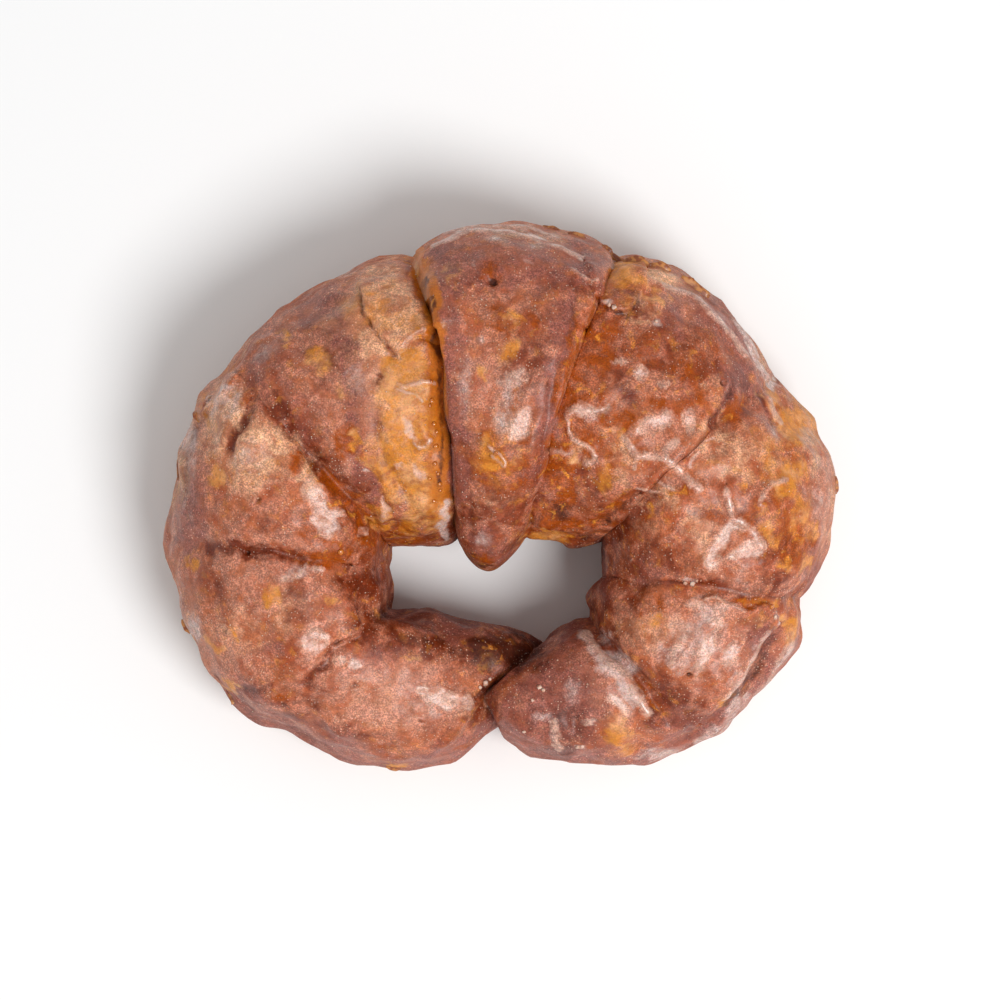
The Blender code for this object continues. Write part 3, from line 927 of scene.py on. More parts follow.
        (20.4, -40, 2, 3.4, 10, 0.8), (12.4, 6.4, 1.3, 1), (17, 4, 1.5, 3, 15, 0.6), (-48, 3.8, 1.4, 2.2),
        (-36.4, 27.2, 0.9, 1.5, 25), (-30.4, 23.4, 1.6, 1.8, 0, 0.8), (-23.6, 9.8, 0.8, 1.6, 15),
        (-38.2, -16.6, 1.3, 2.2), (-28.4, -16.3, 1.8, 0.7), (-48.6, -25, 1.2, 1), (-45, -24.2, 0.9, 0.8),
        (-45.2, -32.1, 1.4, 0.8, -30), (-15.2, -28.2, 1.4, 0.5), (-31.6, -35.7, 0.6, 0.5),
        (-2.7, -28.4, 0.5, 1.5, 30), (-18.2, -46.6, 1.6, 0.8), (-54.4, -22.8, 0.8, 2.2),
        (-19.4, -2.4, 1.3, 3, 0, 0.6), (26.2, -2, 0.9, 1.5), (-52.2, -10.8, 1.2, 1.2), (8, -6.6, 4, 0.9),
        (-26.6, 18, 1, 2.4, 15, 0.6), (-7.8, 37.5, 0.8, 2.2, 0, 0.6), (46.5, 17, 1.5, 2, 30, 0.8),
        (44, -20.5, 1.5, 1.2, 0, 0.4), (48.6, -19.8, 1.2, 1), (26, -21, 1.5, 0.8, 0, 0.6),
    ) + (
        Streak(((-15, 21), (-15.4, 13), (-14.8, 6), (-12.2, -1.5)), 4.6),
    ),
    Coat.FLANK: patches(
        (6, 44.6, 8, 2, 0, 0.5), (53.6, 8.4, 2.2, 4.6, 0, 0.8), (33, 36, 4, 3, -40, 0.5),
        (-54, 5, 2, 8, 0, 0.6),
    ),
    Coat.SYRUP: patches(
        (-12.6, 36.5, 1.6, 4.5, 12), (-11.4, 31, 1.5, 3, 5),
    ) + (
        Streak(((-14.5, 42), (-11.8, 36), (-10.8, 30), (-10.1, 20), (-9.8, 10), (-9.8, 1)), 1.9),
        Streak(((-12.2, 16), (-11.2, 10), (-11.1, 2), (-11.3, -3)), 1, 0.6),
        Streak(((6.8, -27.6), (6.4, -29.6), (3.4, -31.2), (-0.6, -33), (-3, -35)), 0.8, 0.3),
        Streak(((41, -17.6), (43.6, -17.4), (46.8, -18.6)), 0.8, 0.6),
    ),
    # Milky glaze; on the left side some of these also lighten crust that faces away from the lamp, as
    # painted light.
    Coat.MILK: patches(
        (19.6, -28.4, 3.2, 2.2, -20, 0.95), (20.6, -35.4, 2.2, 1.2, -40, 0.5), (27.6, -44, 5, 1.5, 0, 0.6),
        (34, -24.5, 6, 6, 0, 0.42), (-42, 6.4, 3.6, 3, 0, 0.4), (-12, -34.2, 4, 3.4, 0, 0.4),
        (40.4, -30.4, 2, 2, 0, 0.5), (-54.2, -22.6, 1.4, 4, 0, 0.55), (29.4, -26.6, 2.6, 3, 0, 0.5),
        (14.6, 13.6, 1.6, 2, 0, 0.4), (53, 10, 1.8, 4, 0, 0.45), (33.6, -17, 2.4, 1.4, 0, 0.35),
        (41, -13, 2, 1.6, 0, 0.3), (18.4, -23.8, 1.6, 1.6, 0, 0.4), (-34.6, -12.2, 3, 1.5, 0, 0.5),
        (35.6, -19.4, 2.8, 2.2, 0, 0.55), (0.6, 12, 2, 2.6, 0, 0.55), (-53.2, 10.4, 1.8, 6, 10, 0.75),
        (2.4, 16.8, 2, 3, 0, 0.45), (54, -0.6, 1.6, 3, 0, 0.4), (-45.6, 16.6, 2.4, 3.6, 0, 0.6),
        (9.6, -41, 1, 2.4, 0, 0.35), (44, -27, 0.9, 2.4, -25, 0.7), (-5.6, 19, 1.6, 6, 0, 0.4),
        (-0.8, 44, 1.8, 0.5, 0, 0.7), (5.8, 42.8, 1, 0.4, 0, 0.7), (-52.2, -22, 1.6, 3, 15, 0.9),
        (-26, 39, 4, 1.6, 20, 0.5), (-55.2, -17, 1.4, 4, 0, 0.5), (-23.6, 20, 2.4, 3.4, 0, 0.4),
        (15.2, 13.4, 1.8, 1.8, 0, 0.5), (-40.4, 26, 3, 4, 30, 0.35), (-45.6, 18.6, 1.4, 0.6, 40),
        (-49.2, 16.6, 0.9, 0.6, 40, 0.9), (-47.2, 15.6, 1.6, 0.4, 50, 0.8), (-41.7, 9.6, 1, 0.8, 0, 0.5),
        (-32.8, -11.3, 1, 0.8, 0, 0.6), (26.6, 29.4, 0.9, 0.8, 0, 0.7), (-3.2, 26.2, 0.8, 0.8, 0, 0.6),
        (-2.4, -7, 1.6, 1.2, 0, 0.5), (18.6, 32, 1, 0.5, -20, 0.9), (4.7, 39.8, 0.7, 0.4, 0, 0.7),
        (-4, 39.4, 0.6, 0.5, 0, 0.6), (47.2, -20.4, 0.9, 0.8, 0, 0.8), (7, -37.4, 1.3, 1.2, 0, 0.5),
        (13.9, -42.7, 1, 0.4, -20, 0.9), (46.5, 11, 1, 2, 20, 0.5), (32.2, -14.4, 1.4, 0.5, 0, 0.7),
        (-22, 4.2, 0.5, 0.5), (-42.3, -18.2, 0.5, 0.9, 0, 0.6), (12.5, -33, 1.6, 2.6, 0, 0.4),
        (-0.2, -40.4, 1.2, 0.6, 0, 0.6),
    ) + (
        Streak(((14.6, -23.7), (16.4, -26), (18.2, -28.2), (20.2, -29.6), (21.2, -31.6), (22.2, -33.4),
                (23.2, -35.2)), 1.3, 0.72),
        Streak(((35, -42.4), (39.4, -39.6), (42.2, -34.6)), 1.6, 0.55),
        Streak(((40.5, 30), (43, 26.5), (45, 21.5), (47, 19)), 1, 0.8),
        Streak(((-9, -0.6), (-9.4, -3), (-9.6, -4.6), (-8.6, -6.4)), 0.9, 0.8),
    ),
    # Crust browned almost black, and painted shade: on the hole's walls, in creases, under the peeled flap,
    # dimming a highlight on the right, and as the right horn's shadow on the left horn's tip.
    Coat.DARK: patches(
        (3, -26.8, 6, 3.4, -15, 0.8), (-2.6, -27, 3.4, 2.4, 0, 0.7), (-5.4, -26, 4, 1.8, 0, 0.6),
        (11, -38, 4, 3, 0, 0.55), (10.8, -2.4, 2.6, 2, 0, 0.6), (33.6, -2.6, 1.6, 1.6, 0, 0.3),
        (2.6, -8, 3, 1.6, 0, 0.4), (7.6, -3.7, 1.8, 1.4, 0, 0.35), (26, -36.5, 1.8, 1.4, 0, 0.5),
        (-14.2, -26.4, 4, 1.4, -5, 0.35), (43.2, -16, 2.2, 1.2, 0, 0.5), (-35.8, -40.6, 3.4, 1.4, -10, 0.3),
        (-4.6, -30.2, 1.8, 1.4, 0, 0.35), (10.8, -43.2, 3, 2, 0, 0.6), (24.8, 22.2, 1.4, 1.4, 0, 0.35),
        (38.5, 16.4, 1.6, 1.8, 0, 0.3), (-3.6, -25.6, 4, 1.6, -10, 0.8), (-5, -10, 2.4, 1.4, 0, 0.5),
        (41, 19.6, 2.4, 2.4, 0, 0.4), (14.9, -8.6, 2, 3, 0, 0.7), (-3, -24.8, 3, 1.2, 0, 0.5),
        (-1.5, -27.9, 2.4, 1.8, 0, 0.75), (-13.6, -24.4, 5, 1.2, -5, 0.55), (12, -40.5, 3.4, 3.4, 0, 0.4),
        (-20.2, -20.5, 2.2, 1.6, -30, 0.5), (17.4, -9, 1.8, 3, 0, 0.6), (-2.6, -11.6, 2.4, 0.7, 0, 0.7),
        (13.4, -38.2, 1.2, 1, 0, 0.7), (13, -41, 1, 0.8, 0, 0.5), (15.2, -39.2, 0.8, 0.7, 0, 0.5),
        (-41.6, -33, 2.4, 0.6, 12, 0.5), (-1.2, 36.2, 0.9, 0.5, -25), (-36.2, -35.7, 0.7, 0.4, 0, 0.6),
        (-2.4, -33.8, 2, 1, 20, 0.5),
    ) + (
        Streak(((47.2, -24), (45.6, -28), (42.5, -32.4), (39, -36)), 1, 0.55),
        Streak(((18.4, 31.2), (19.6, 30.8), (21.6, 31), (23.6, 32.6)), 0.5, 0.6),
        Streak(((-12.4, 37), (-10.9, 31), (-10.3, 24)), 0.6, 0.7),
        Streak(((-10.3, 24), (-9.8, 12), (-9.6, 2)), 0.5, 0.6),
        Streak(((36, 13), (37.6, 15.4), (39.8, 18.8)), 0.6, 0.5),
        Streak(((17.4, -4.8), (20, -3), (22.4, -0.6)), 0.6, 0.5),
        Streak(((-31.2, 7), (-28.6, 3.4), (-25.8, -0.8), (-23, -4.6)), 0.4, 0.4),
    ),
}


@dataclass
class Marks:
    """What the folds leave at each vertex, from 0 to 1.

    glaze is how much they hold there, crest how near a fold's crest is, and crease and hollow how deep the
    vertex lies in a crease or in a burst bubble. glaze places a painted highlight, crest a painted glint,
    and crease and hollow painted shade.
    """

    glaze: np.ndarray
    crest: np.ndarray
    crease: np.ndarray
    hollow: np.ndarray

    def add(self, fold: Fold, place: np.ndarray, topside: np.ndarray, wetness: np.ndarray) -> None:
        """Adds what one fold leaves.

        Args:
            fold: The fold.
            place: Where each vertex lies.
            topside: 1 on top of the dough and 0 below.
            wetness: How wet the crests of the folds are at each vertex.
        """
        if isinstance(fold, (Ridge, Facet)):
            cover = fold.cover(place) * topside
            self.glaze = np.maximum(self.glaze, cover * (fold.height > 0))
            self.crease = np.maximum(self.crease, cover * (fold.height < 0))
        if isinstance(fold, Ridge):
            self.crest = np.maximum(self.crest, fold.crest(place) * topside * wetness)
        if isinstance(fold, Pit):
            self.hollow = np.maximum(self.hollow, fold.cover(place))


@dataclass(frozen=True)
class FormShadeAndCoats:
    """Which coats the form itself gives the crust: in furrows, round the hole, at the sides and in front.

    In furrows, creases, burst bubbles, round the hole and in front they are painted shade, on folds and flat
    places painted highlights, and at the sides a pale flank that is partly a painted reflection. A span is
    where a
    coat starts and where it is full: in millimetres, or for a slope as the upward part of the normal. A
    share is how strong the coat gets there.
    """

    furrow: Span = (0.4, 1.8)
    deep_furrow: Span = (1.6, 3.6)
    hole_wall: Span = (-7.0, -12.0)
    side: Span = (34.0, 50.0)
    behind: Span = (-16.0, 2.0)
    in_front: Span = (-30.0, -40.0)
    flank_tilt: float = 0.2
    flank_slope: Span = (0.4, 0.95)
    flank_level: Span = (0.5, 3.0)
    flank_outside: Span = (0.0, 6.0)
    rim_slope: Span = (0.1, 0.55)
    underside: Span = (-1.0, -0.2)
    front_shade_slope: Span = (0.2, 0.7)
    # The shares below set how strong the painted shade is in furrows and creases, on the hole's wall and on
    # the steep front sides.
    crease_shade_share: float = 0.8
    hole_wall_shade_share: float = 0.6
    crease_dark_shade_share: float = 0.25
    furrow_dark_shade_share: float = 0.45
    front_shade_share: float = 0.9

    def covers(
        self, points: np.ndarray, normals: np.ndarray, values: dict[str, np.ndarray], marks: Marks
    ) -> dict[Coat, np.ndarray]:
        """How far the form and its folds give each coat, painted shade and highlights among them.

        Args:
            points: The place of each vertex before the fine relief.
            normals: The normal of each vertex.
            values: The form's values at each vertex.
            marks: What the folds leave at each vertex.

        Returns:
            A number from 0 to 1 for each vertex, for each coat that comes from the form.
        """
        up, level, across = normals[:, 2], points[:, 2], values["across"]
        inset = values["inset"] * (1 - np.maximum.reduce([bridge.cover(points) for bridge in BRIDGES]))
        furrow = smooth_step(*self.furrow, inset)
        deep = smooth_step(*self.deep_furrow, inset)
        wall = smooth_step(*self.hole_wall, across)
        side = smooth_step(*self.side, np.abs(points[:, 0])) * smooth_step(*self.behind, points[:, 1])
        steep = 1 - smooth_step(0.0, 1.0, (up + self.flank_tilt) / blend(*self.flank_slope, side))
        low = smooth_step(*self.flank_level, level) * smooth_step(*self.flank_outside, across)
        return {
            # Sheen and glint here are painted highlights; browned, dark and plum are painted shade.
            Coat.GLOSS_AND_PAINTED_SHEEN: marks.glaze,
            Coat.GLOSS_AND_PAINTED_GLINT: marks.crest,
            Coat.BROWNED_AND_SHADE: np.maximum(
                self.crease_shade_share * np.maximum(marks.crease, furrow), self.hole_wall_shade_share * wall
            ),
            Coat.DARK: np.maximum.reduce(
                [self.crease_dark_shade_share * marks.crease, self.furrow_dark_shade_share * deep, marks.hollow]
            ),
            Coat.FLANK: steep * (1 - furrow) * low,
            Coat.RIM: (1 - smooth_step(*self.rim_slope, up)) * smooth_step(*self.underside, up),
            Coat.PLUM_AND_SHADE: self.front_shade_share * (1 - smooth_step(*self.front_shade_slope, up))
            * smooth_step(*self.in_front, points[:, 1]),
        }


@dataclass
class DoughRing:
    """The glazed dough, with its folds and its coats."""

    form: DoughForm = field(default_factory=DoughForm)
    form_shade: FormShadeAndCoats = field(default_factory=FormShadeAndCoats)
    wrinkle_size: float = 5.2
    wrinkle_height: float = 0.3
    wrinkle_power: float = 0.7
    wrinkle_shift: float = 3.7
    crease_size: float = 2.6
    crease_height: float = 0.22
    crease_shift: float = 9.2
    streak_length: float = 9.0
    streak_width: float = 1.3
    streak_height: float = 0.10
    streak_shift: float = 5.5
    streak_stride: float = 40.0
    ragged_size: float = 2.4
    ragged_shift: float = 1.3
    fine_ragged_size: float = 2.4 / 2.3
    fine_ragged_shift: float = 6.1
    ragged_depth: float = 0.45
    sway_size: float = 3.2
    sway_shifts: tuple[Span, Span] = ((2.2, 3.4), (7.7, 8.5))
    coat_sway: float = 2.2
    facet_sway: float = 1.0
    fold_sway: float = 0.35
    crest_patch_size: float = 1.7
    crest_patch_shift: float = 4.6
    crest_patch_edge: Span = (-0.6, 0.3)
    fold_slope: Span = (0.05, 0.4)
    coat_slope: Span = (-0.5, 0.0)
    skin_below: float = 0.6
    glaze_filling: float = 0.6
    foot_level: float = 2.0
    form_values: tuple[str, ...] = ("inset", "along", "across", "wrinkling")

    def build(self) -> bpy.types.Object:
        """Makes the dough's mesh, with its coats as attributes.

        Returns:
            The object, in metres and at the origin.
        """
        mesh = self.spun_mesh(self.form.surface())
        points = self.numbers(mesh.vertices, "co", 3)
        normals = self.numbers(mesh.vertex_normals, "vector", 3)
        values = {name: self.numbers(mesh.attributes[name].data, "value", 1) for name in self.form_values}
        topside = smooth_step(*self.fold_slope, normals[:, 2])
        wetness = noise_at(points, self.crest_patch_size, self.crest_patch_shift)
        wetness = smooth_step(*self.crest_patch_edge, wetness)
        sway = self.sway(points)
        folded = np.zeros(len(points))
        marks = Marks(*(np.zeros(len(points)) for _ in range(4)))
        for fold in FOLDS:
            place = points + sway * (self.facet_sway if isinstance(fold, Facet) else self.fold_sway)
            folded += fold.rise(place) * topside
            marks.add(fold, place, topside, wetness)
        skin = self.skin(points, values) * blend(self.skin_below, 1.0, topside)
        rise = skin * (1 - self.glaze_filling * marks.glaze) + folded
        rise *= smooth_step(0.0, self.foot_level, points[:, 2])
        moved = points + normals * rise[:, None]
        moved[:, 2] = np.maximum(moved[:, 2], 0.0)
        mesh.vertices.foreach_set("co", (moved * MM).astype(np.float32).ravel())
        mesh.update()
        self.paint(mesh, points, normals[:, 2], self.form_shade.covers(points, normals, values, marks))
        mesh.shade_smooth()
        return linked("glazed_dough", mesh)

    def spun_mesh(self, grid: dict[str, np.ndarray]) -> bpy.types.Mesh:
        """Spins a plain ring, carries each of its vertices to its place on the dough, and refines the folds.

        Args:
            grid: The dough's grids; its points are in millimetres.

        Returns:
            The mesh, in millimetres, with the form's values as attributes.
        """
        points = grid["point"]
        columns, rows = points.shape[:2]
        ring_radius, tube_radius = 2.0, 1.0
        bm = bmesh.new()
        layers = {name: bm.verts.layers.float.new(name) for name in self.form_values}
        made = bmesh.ops.create_circle(bm, segments=rows, radius=tube_radius)
        for vert in made["verts"]:
            angle = math.atan2(vert.co.y, vert.co.x)
            vert.co = (ring_radius + math.cos(angle), 0, math.sin(angle))
        bmesh.ops.spin(
            bm, geom=bm.verts[:] + bm.edges[:], axis=(0, 0, 1), cent=(0, 0, 0),
            angle=math.tau, steps=columns, use_merge=True, use_duplicate=False,
        )
        for vert in bm.verts:
            out = math.hypot(vert.co.x, vert.co.y) - ring_radius
            column = round(math.atan2(vert.co.y, vert.co.x) / math.tau * columns) % columns
            row = round(math.atan2(vert.co.z, out) / math.tau * rows) % rows
            vert.co = points[column, row]
            for name, layer in layers.items():
                vert[layer] = grid[name][column, row]
        bmesh.ops.recalc_face_normals(bm, faces=bm.faces)
        self.refine(bm)
        mesh = bpy.data.meshes.new("glazed_dough")
        bm.to_mesh(mesh)
        bm.free()
        return mesh

    @staticmethod
    def refine(bm: bmesh.types.BMesh) -> None:
        """Halves the mesh's faces on top of the dough where a fold is narrow.

        Args:
            bm: The dough's mesh, in millimetres.
        """
        faces = bm.faces[:]
        middles = np.array([face.calc_center_median() for face in faces])
        close = np.zeros(len(faces), bool)
        for fold in FOLDS:
            if fold.fine_reach():
                close |= fold.distance(middles) < fold.fine_reach()
        close &= middles[:, 2] > SHOULDER
        edges = dict.fromkeys(edge for face, chosen in zip(faces, close) if chosen for edge in face.edges)
        bmesh.ops.subdivide_edges(bm, edges=list(edges), cuts=1, use_grid_fill=True)
        bm.normal_update()
        bmesh.ops.triangulate(bm, faces=[face for face in bm.faces if len(face.verts) > 4])
        LOG.info("refined %d of %d faces", close.sum(), len(faces))

    @staticmethod
    def numbers(items: bpy.types.bpy_prop_collection, name: str, width: int) -> np.ndarray:
        """One property of many items as an array.

        Args:
            items: What has the property, such as a mesh's vertices.
            name: The property.
            width: How many numbers each item has.

        Returns:
            A row for each item, or one number for each where width is 1.
        """
        flat = np.zeros(len(items) * width, np.float32)
        items.foreach_get(name, flat)
        return (flat.reshape(-1, width) if width > 1 else flat).astype(float)

    def sway(self, points: np.ndarray) -> np.ndarray:
        """How a place wanders sideways, about 1 mm at most, so that no edge runs straight.

        Args:
            points: Places, in millimetres.

        Returns:
            An offset along x, y and z for each point, with no z.
        """
        sways = [
            noise_at(points, self.sway_size, coarse) + noise_at(points, self.sway_size / 3, fine) / 2
            for coarse, fine in self.sway_shifts
        ]
        return np.stack([*sways, np.zeros(len(points))], axis=-1)

    def skin(self, points: np.ndarray, values: dict[str, np.ndarray]) -> np.ndarray:
        """How far wrinkles, creases and the grain of the rolled dough stand out.

        Args:
            points: The place of each vertex.
            values: The form's values at each vertex.

        Returns:
            The height at each vertex.
        """
        wrinkles = np.abs(noise_at(points, self.wrinkle_size, self.wrinkle_shift)) ** self.wrinkle_power
        creases = noise_at(points, self.crease_size, self.crease_shift)
        rolled = (
            values["along"] / self.streak_width,
            values["across"] / self.streak_length,
            values["wrinkling"] * self.streak_stride,
        )
        streaks = noise_at(np.stack(rolled, axis=-1), 1.0, self.streak_shift)
        skin = self.wrinkle_height * (1 - 2 * wrinkles) + self.crease_height * creases
        return skin * values["wrinkling"] + self.streak_height * streaks

    def paint(
        self, mesh: bpy.types.Mesh, points: np.ndarray, up: np.ndarray, worn: dict[Coat, np.ndarray]
    ) -> None:
        """Writes the coats to the mesh as attributes, with ragged edges.

        Args:
            mesh: The dough's mesh.
            points: The place of each vertex before the fine relief.
            up: The upward part of each vertex's normal.
            worn: How far the form wears each coat, painted shade and highlights among them.
        """
        topside = smooth_step(*self.coat_slope, up)
        ragged = noise_at(points, self.ragged_size, self.ragged_shift)
        ragged = ragged + noise_at(points, self.fine_ragged_size, self.fine_ragged_shift) / 2
        sway = self.sway(points)
        for coat in Coat:
            loose = coat not in SHARP_COATS
            warped = points + sway * (self.coat_sway if loose else self.facet_sway)
            cover = worn.get(coat, np.zeros(len(points)))
            for patch in COATS.get(coat, ()):
                cover = np.maximum(cover, patch.cover(warped) * topside)
            depth = self.ragged_depth if loose else self.ragged_depth / 2
            torn = np.clip(cover + depth * ragged * 4 * cover * (1 - cover), 0.0, 1.0)
            made = mesh.attributes.new(coat.value, "FLOAT", "POINT")
            made.data.foreach_set("value", torn.astype(np.float32))


# ---------------------------------------------------------------- shader maths


@dataclass(frozen=True)
class Signal:
    """A socket's output that takes part in Python expressions."""

    shader: "Shader"
    socket: bpy.types.NodeSocket

    def math(self, operation: str, *values: "Signal | float") -> "Signal":
        """Sends values through one Math node."""
        return self.shader.math(operation, *values)

    def __add__(self, other: "Signal | float") -> "Signal":
        """self + other."""
        return self.math("ADD", self, other)

    def __radd__(self, other: float) -> "Signal":
        """other + self."""
        return self.math("ADD", other, self)

    def __sub__(self, other: "Signal | float") -> "Signal":
        """self - other."""
        return self.math("SUBTRACT", self, other)

    def __rsub__(self, other: float) -> "Signal":
        """other - self."""
        return self.math("SUBTRACT", other, self)

    def __mul__(self, other: "Signal | float") -> "Signal":
        """self * other."""
        return self.math("MULTIPLY", self, other)


@dataclass(frozen=True)
class Grain:
    """A noise pattern: how wide its swellings are in millimetres, how fine its detail, and how it swirls."""

    size: float
    detail: float
    swirl: float = 0.0


@dataclass
class Shader:
    """A material's nodes, made from expressions."""

    name: str

    def __post_init__(self) -> None:
        """Makes the material with a Principled BSDF and nothing else."""
        self.material = bpy.data.materials.new(self.name)
        self.material.use_nodes = True
        self.tree = self.material.node_tree
        self.surface = self.tree.nodes["Principled BSDF"]
        self.place = self.add("ShaderNodeTexCoord", output="Object")

    def add(
        self,
        kind: str,
        settings: dict[str, object] | None = None,
        sockets: dict[str | int, object] | None = None,
        output: str | int = 0,
    ) -> Signal:
        """Adds one node.

        Args:
            kind: The node's type.
            settings: Its settings, set first.
            sockets: Values or links of its input sockets.
            output: Which output socket to return.

        Returns:
            The output as a signal.
        """
        node = self.tree.nodes.new(kind)
        for name, value in (settings or {}).items():
            setattr(node, name, value)
        for name, value in (sockets or {}).items():
            self.feed(node.inputs[name], value)
        return Signal(self, node.outputs[output])

    def feed(self, socket: bpy.types.NodeSocket, value: object) -> None:
        """Links a signal to an input socket, or sets its value.

        Args:
            socket: The input socket.
            value: A signal, a number, a vector or a tint.
        """
        if isinstance(value, Signal):
            self.tree.links.new(value.socket, socket)
        elif isinstance(value, tuple) and len(value) == 3 and socket.type == "RGBA":
            socket.default_value = (*value, 1.0)
        else:
            socket.default_value = value

    def math(self, operation: str, *values: Signal | float) -> Signal:
        """One Math node on these values."""
        return self.add("ShaderNodeMath", {"operation": operation}, dict(enumerate(values)))

    def attribute(self, name: str) -> Signal:
        """A number that the mesh carries for each vertex."""
        return self.add("ShaderNodeAttribute", {"attribute_name": name}, output="Fac")

    def noise(self, grain: Grain, place: Signal | None = None) -> Signal:
        """Noise from 0 to 1, in object coordinates unless another place is given."""
        sockets = {"Scale": 1 / (grain.size * MM), "Detail": grain.detail, "Distortion": grain.swirl}
        return self.add("ShaderNodeTexNoise", None, {"Vector": place or self.place, **sockets})

    def cells(self, size: float, output: str) -> Signal:
        """An output of a Voronoi texture with cells of size millimetres."""
        sockets = {"Vector": self.place, "Scale": 1 / (size * MM)}
        return self.add("ShaderNodeTexVoronoi", None, sockets, output)

    def chance(self, size: float) -> Signal:
        """A random number from 0 to 1 for each cell of size millimetres."""
        return self.add("ShaderNodeSeparateColor", None, {"Color": self.cells(size, "Color")})

    def ease(self, value: Signal, low: float, high: float, start: float = 0.0, end: float = 1.0) -> Signal:
        """Start below low, end above high, with an eased climb between them."""
        return self.add(
            "ShaderNodeMapRange", {"interpolation_type": "SMOOTHSTEP"},
            {"Value": value, "From Min": low, "From Max": high, "To Min": start, "To Max": end},
        )

    def mix(self, share: Signal | float, first: object, last: object) -> Signal:
        """The colour at this share of the way from first to last."""
        return self.add("ShaderNodeMix", {"data_type": "RGBA"}, {0: share, 6: first, 7: last}, 2)

    def shade(self, colour: Signal, brightness: Signal) -> Signal:
        """A colour made lighter or darker."""
        return self.add("ShaderNodeVectorMath", {"operation": "SCALE"}, {0: colour, "Scale": brightness})

    def stretched(self, scale: tuple[float, float, float]) -> Signal:
        """Object coordinates with a pattern stretched along an axis."""
        return self.add("ShaderNodeMapping", None, {"Vector": self.place, "Scale": scale})

    def bump(self, height: Signal, distance: float, under: Signal | None = None) -> Signal:
        """A normal that follows a height.

        Args:
            height: The height, where 1 is distance high.
            distance: In millimetres.
            under: The normal that it adds to, if there is one.

        Returns:
            The normal.
        """
        sockets = {"Height": height, "Distance": distance * MM, "Strength": 1.0}
        if under is not None:
            sockets["Normal"] = under
        return self.add("ShaderNodeBump", None, sockets)

    def finish(self, **sockets: object) -> bpy.types.Material:
        """Feeds the Principled BSDF and returns the material.

        Args:
            sockets: Values or links, by the socket's name with _ for a space.

        Returns:
            The material.
        """
        for name, value in sockets.items():
            self.feed(self.surface.inputs[name.replace("_", " ")], value)
        return self.material


@dataclass(frozen=True)
class Dots:
    """Round grains, one at most in a cell: the cell's size in millimetres, and their radius in cells.

    share is how many of the cells have one, and softness how many of those are faint.
    """

    cell: float
    radius: float
    share: float
    softness: float = 0.2


@dataclass(frozen=True)
class Patterns:
    """The noises that several parts of the crust's finish share."""

    blotch: Signal
    mottle: Signal
    veil: Signal
    layers: Signal
    sparkle: Signal


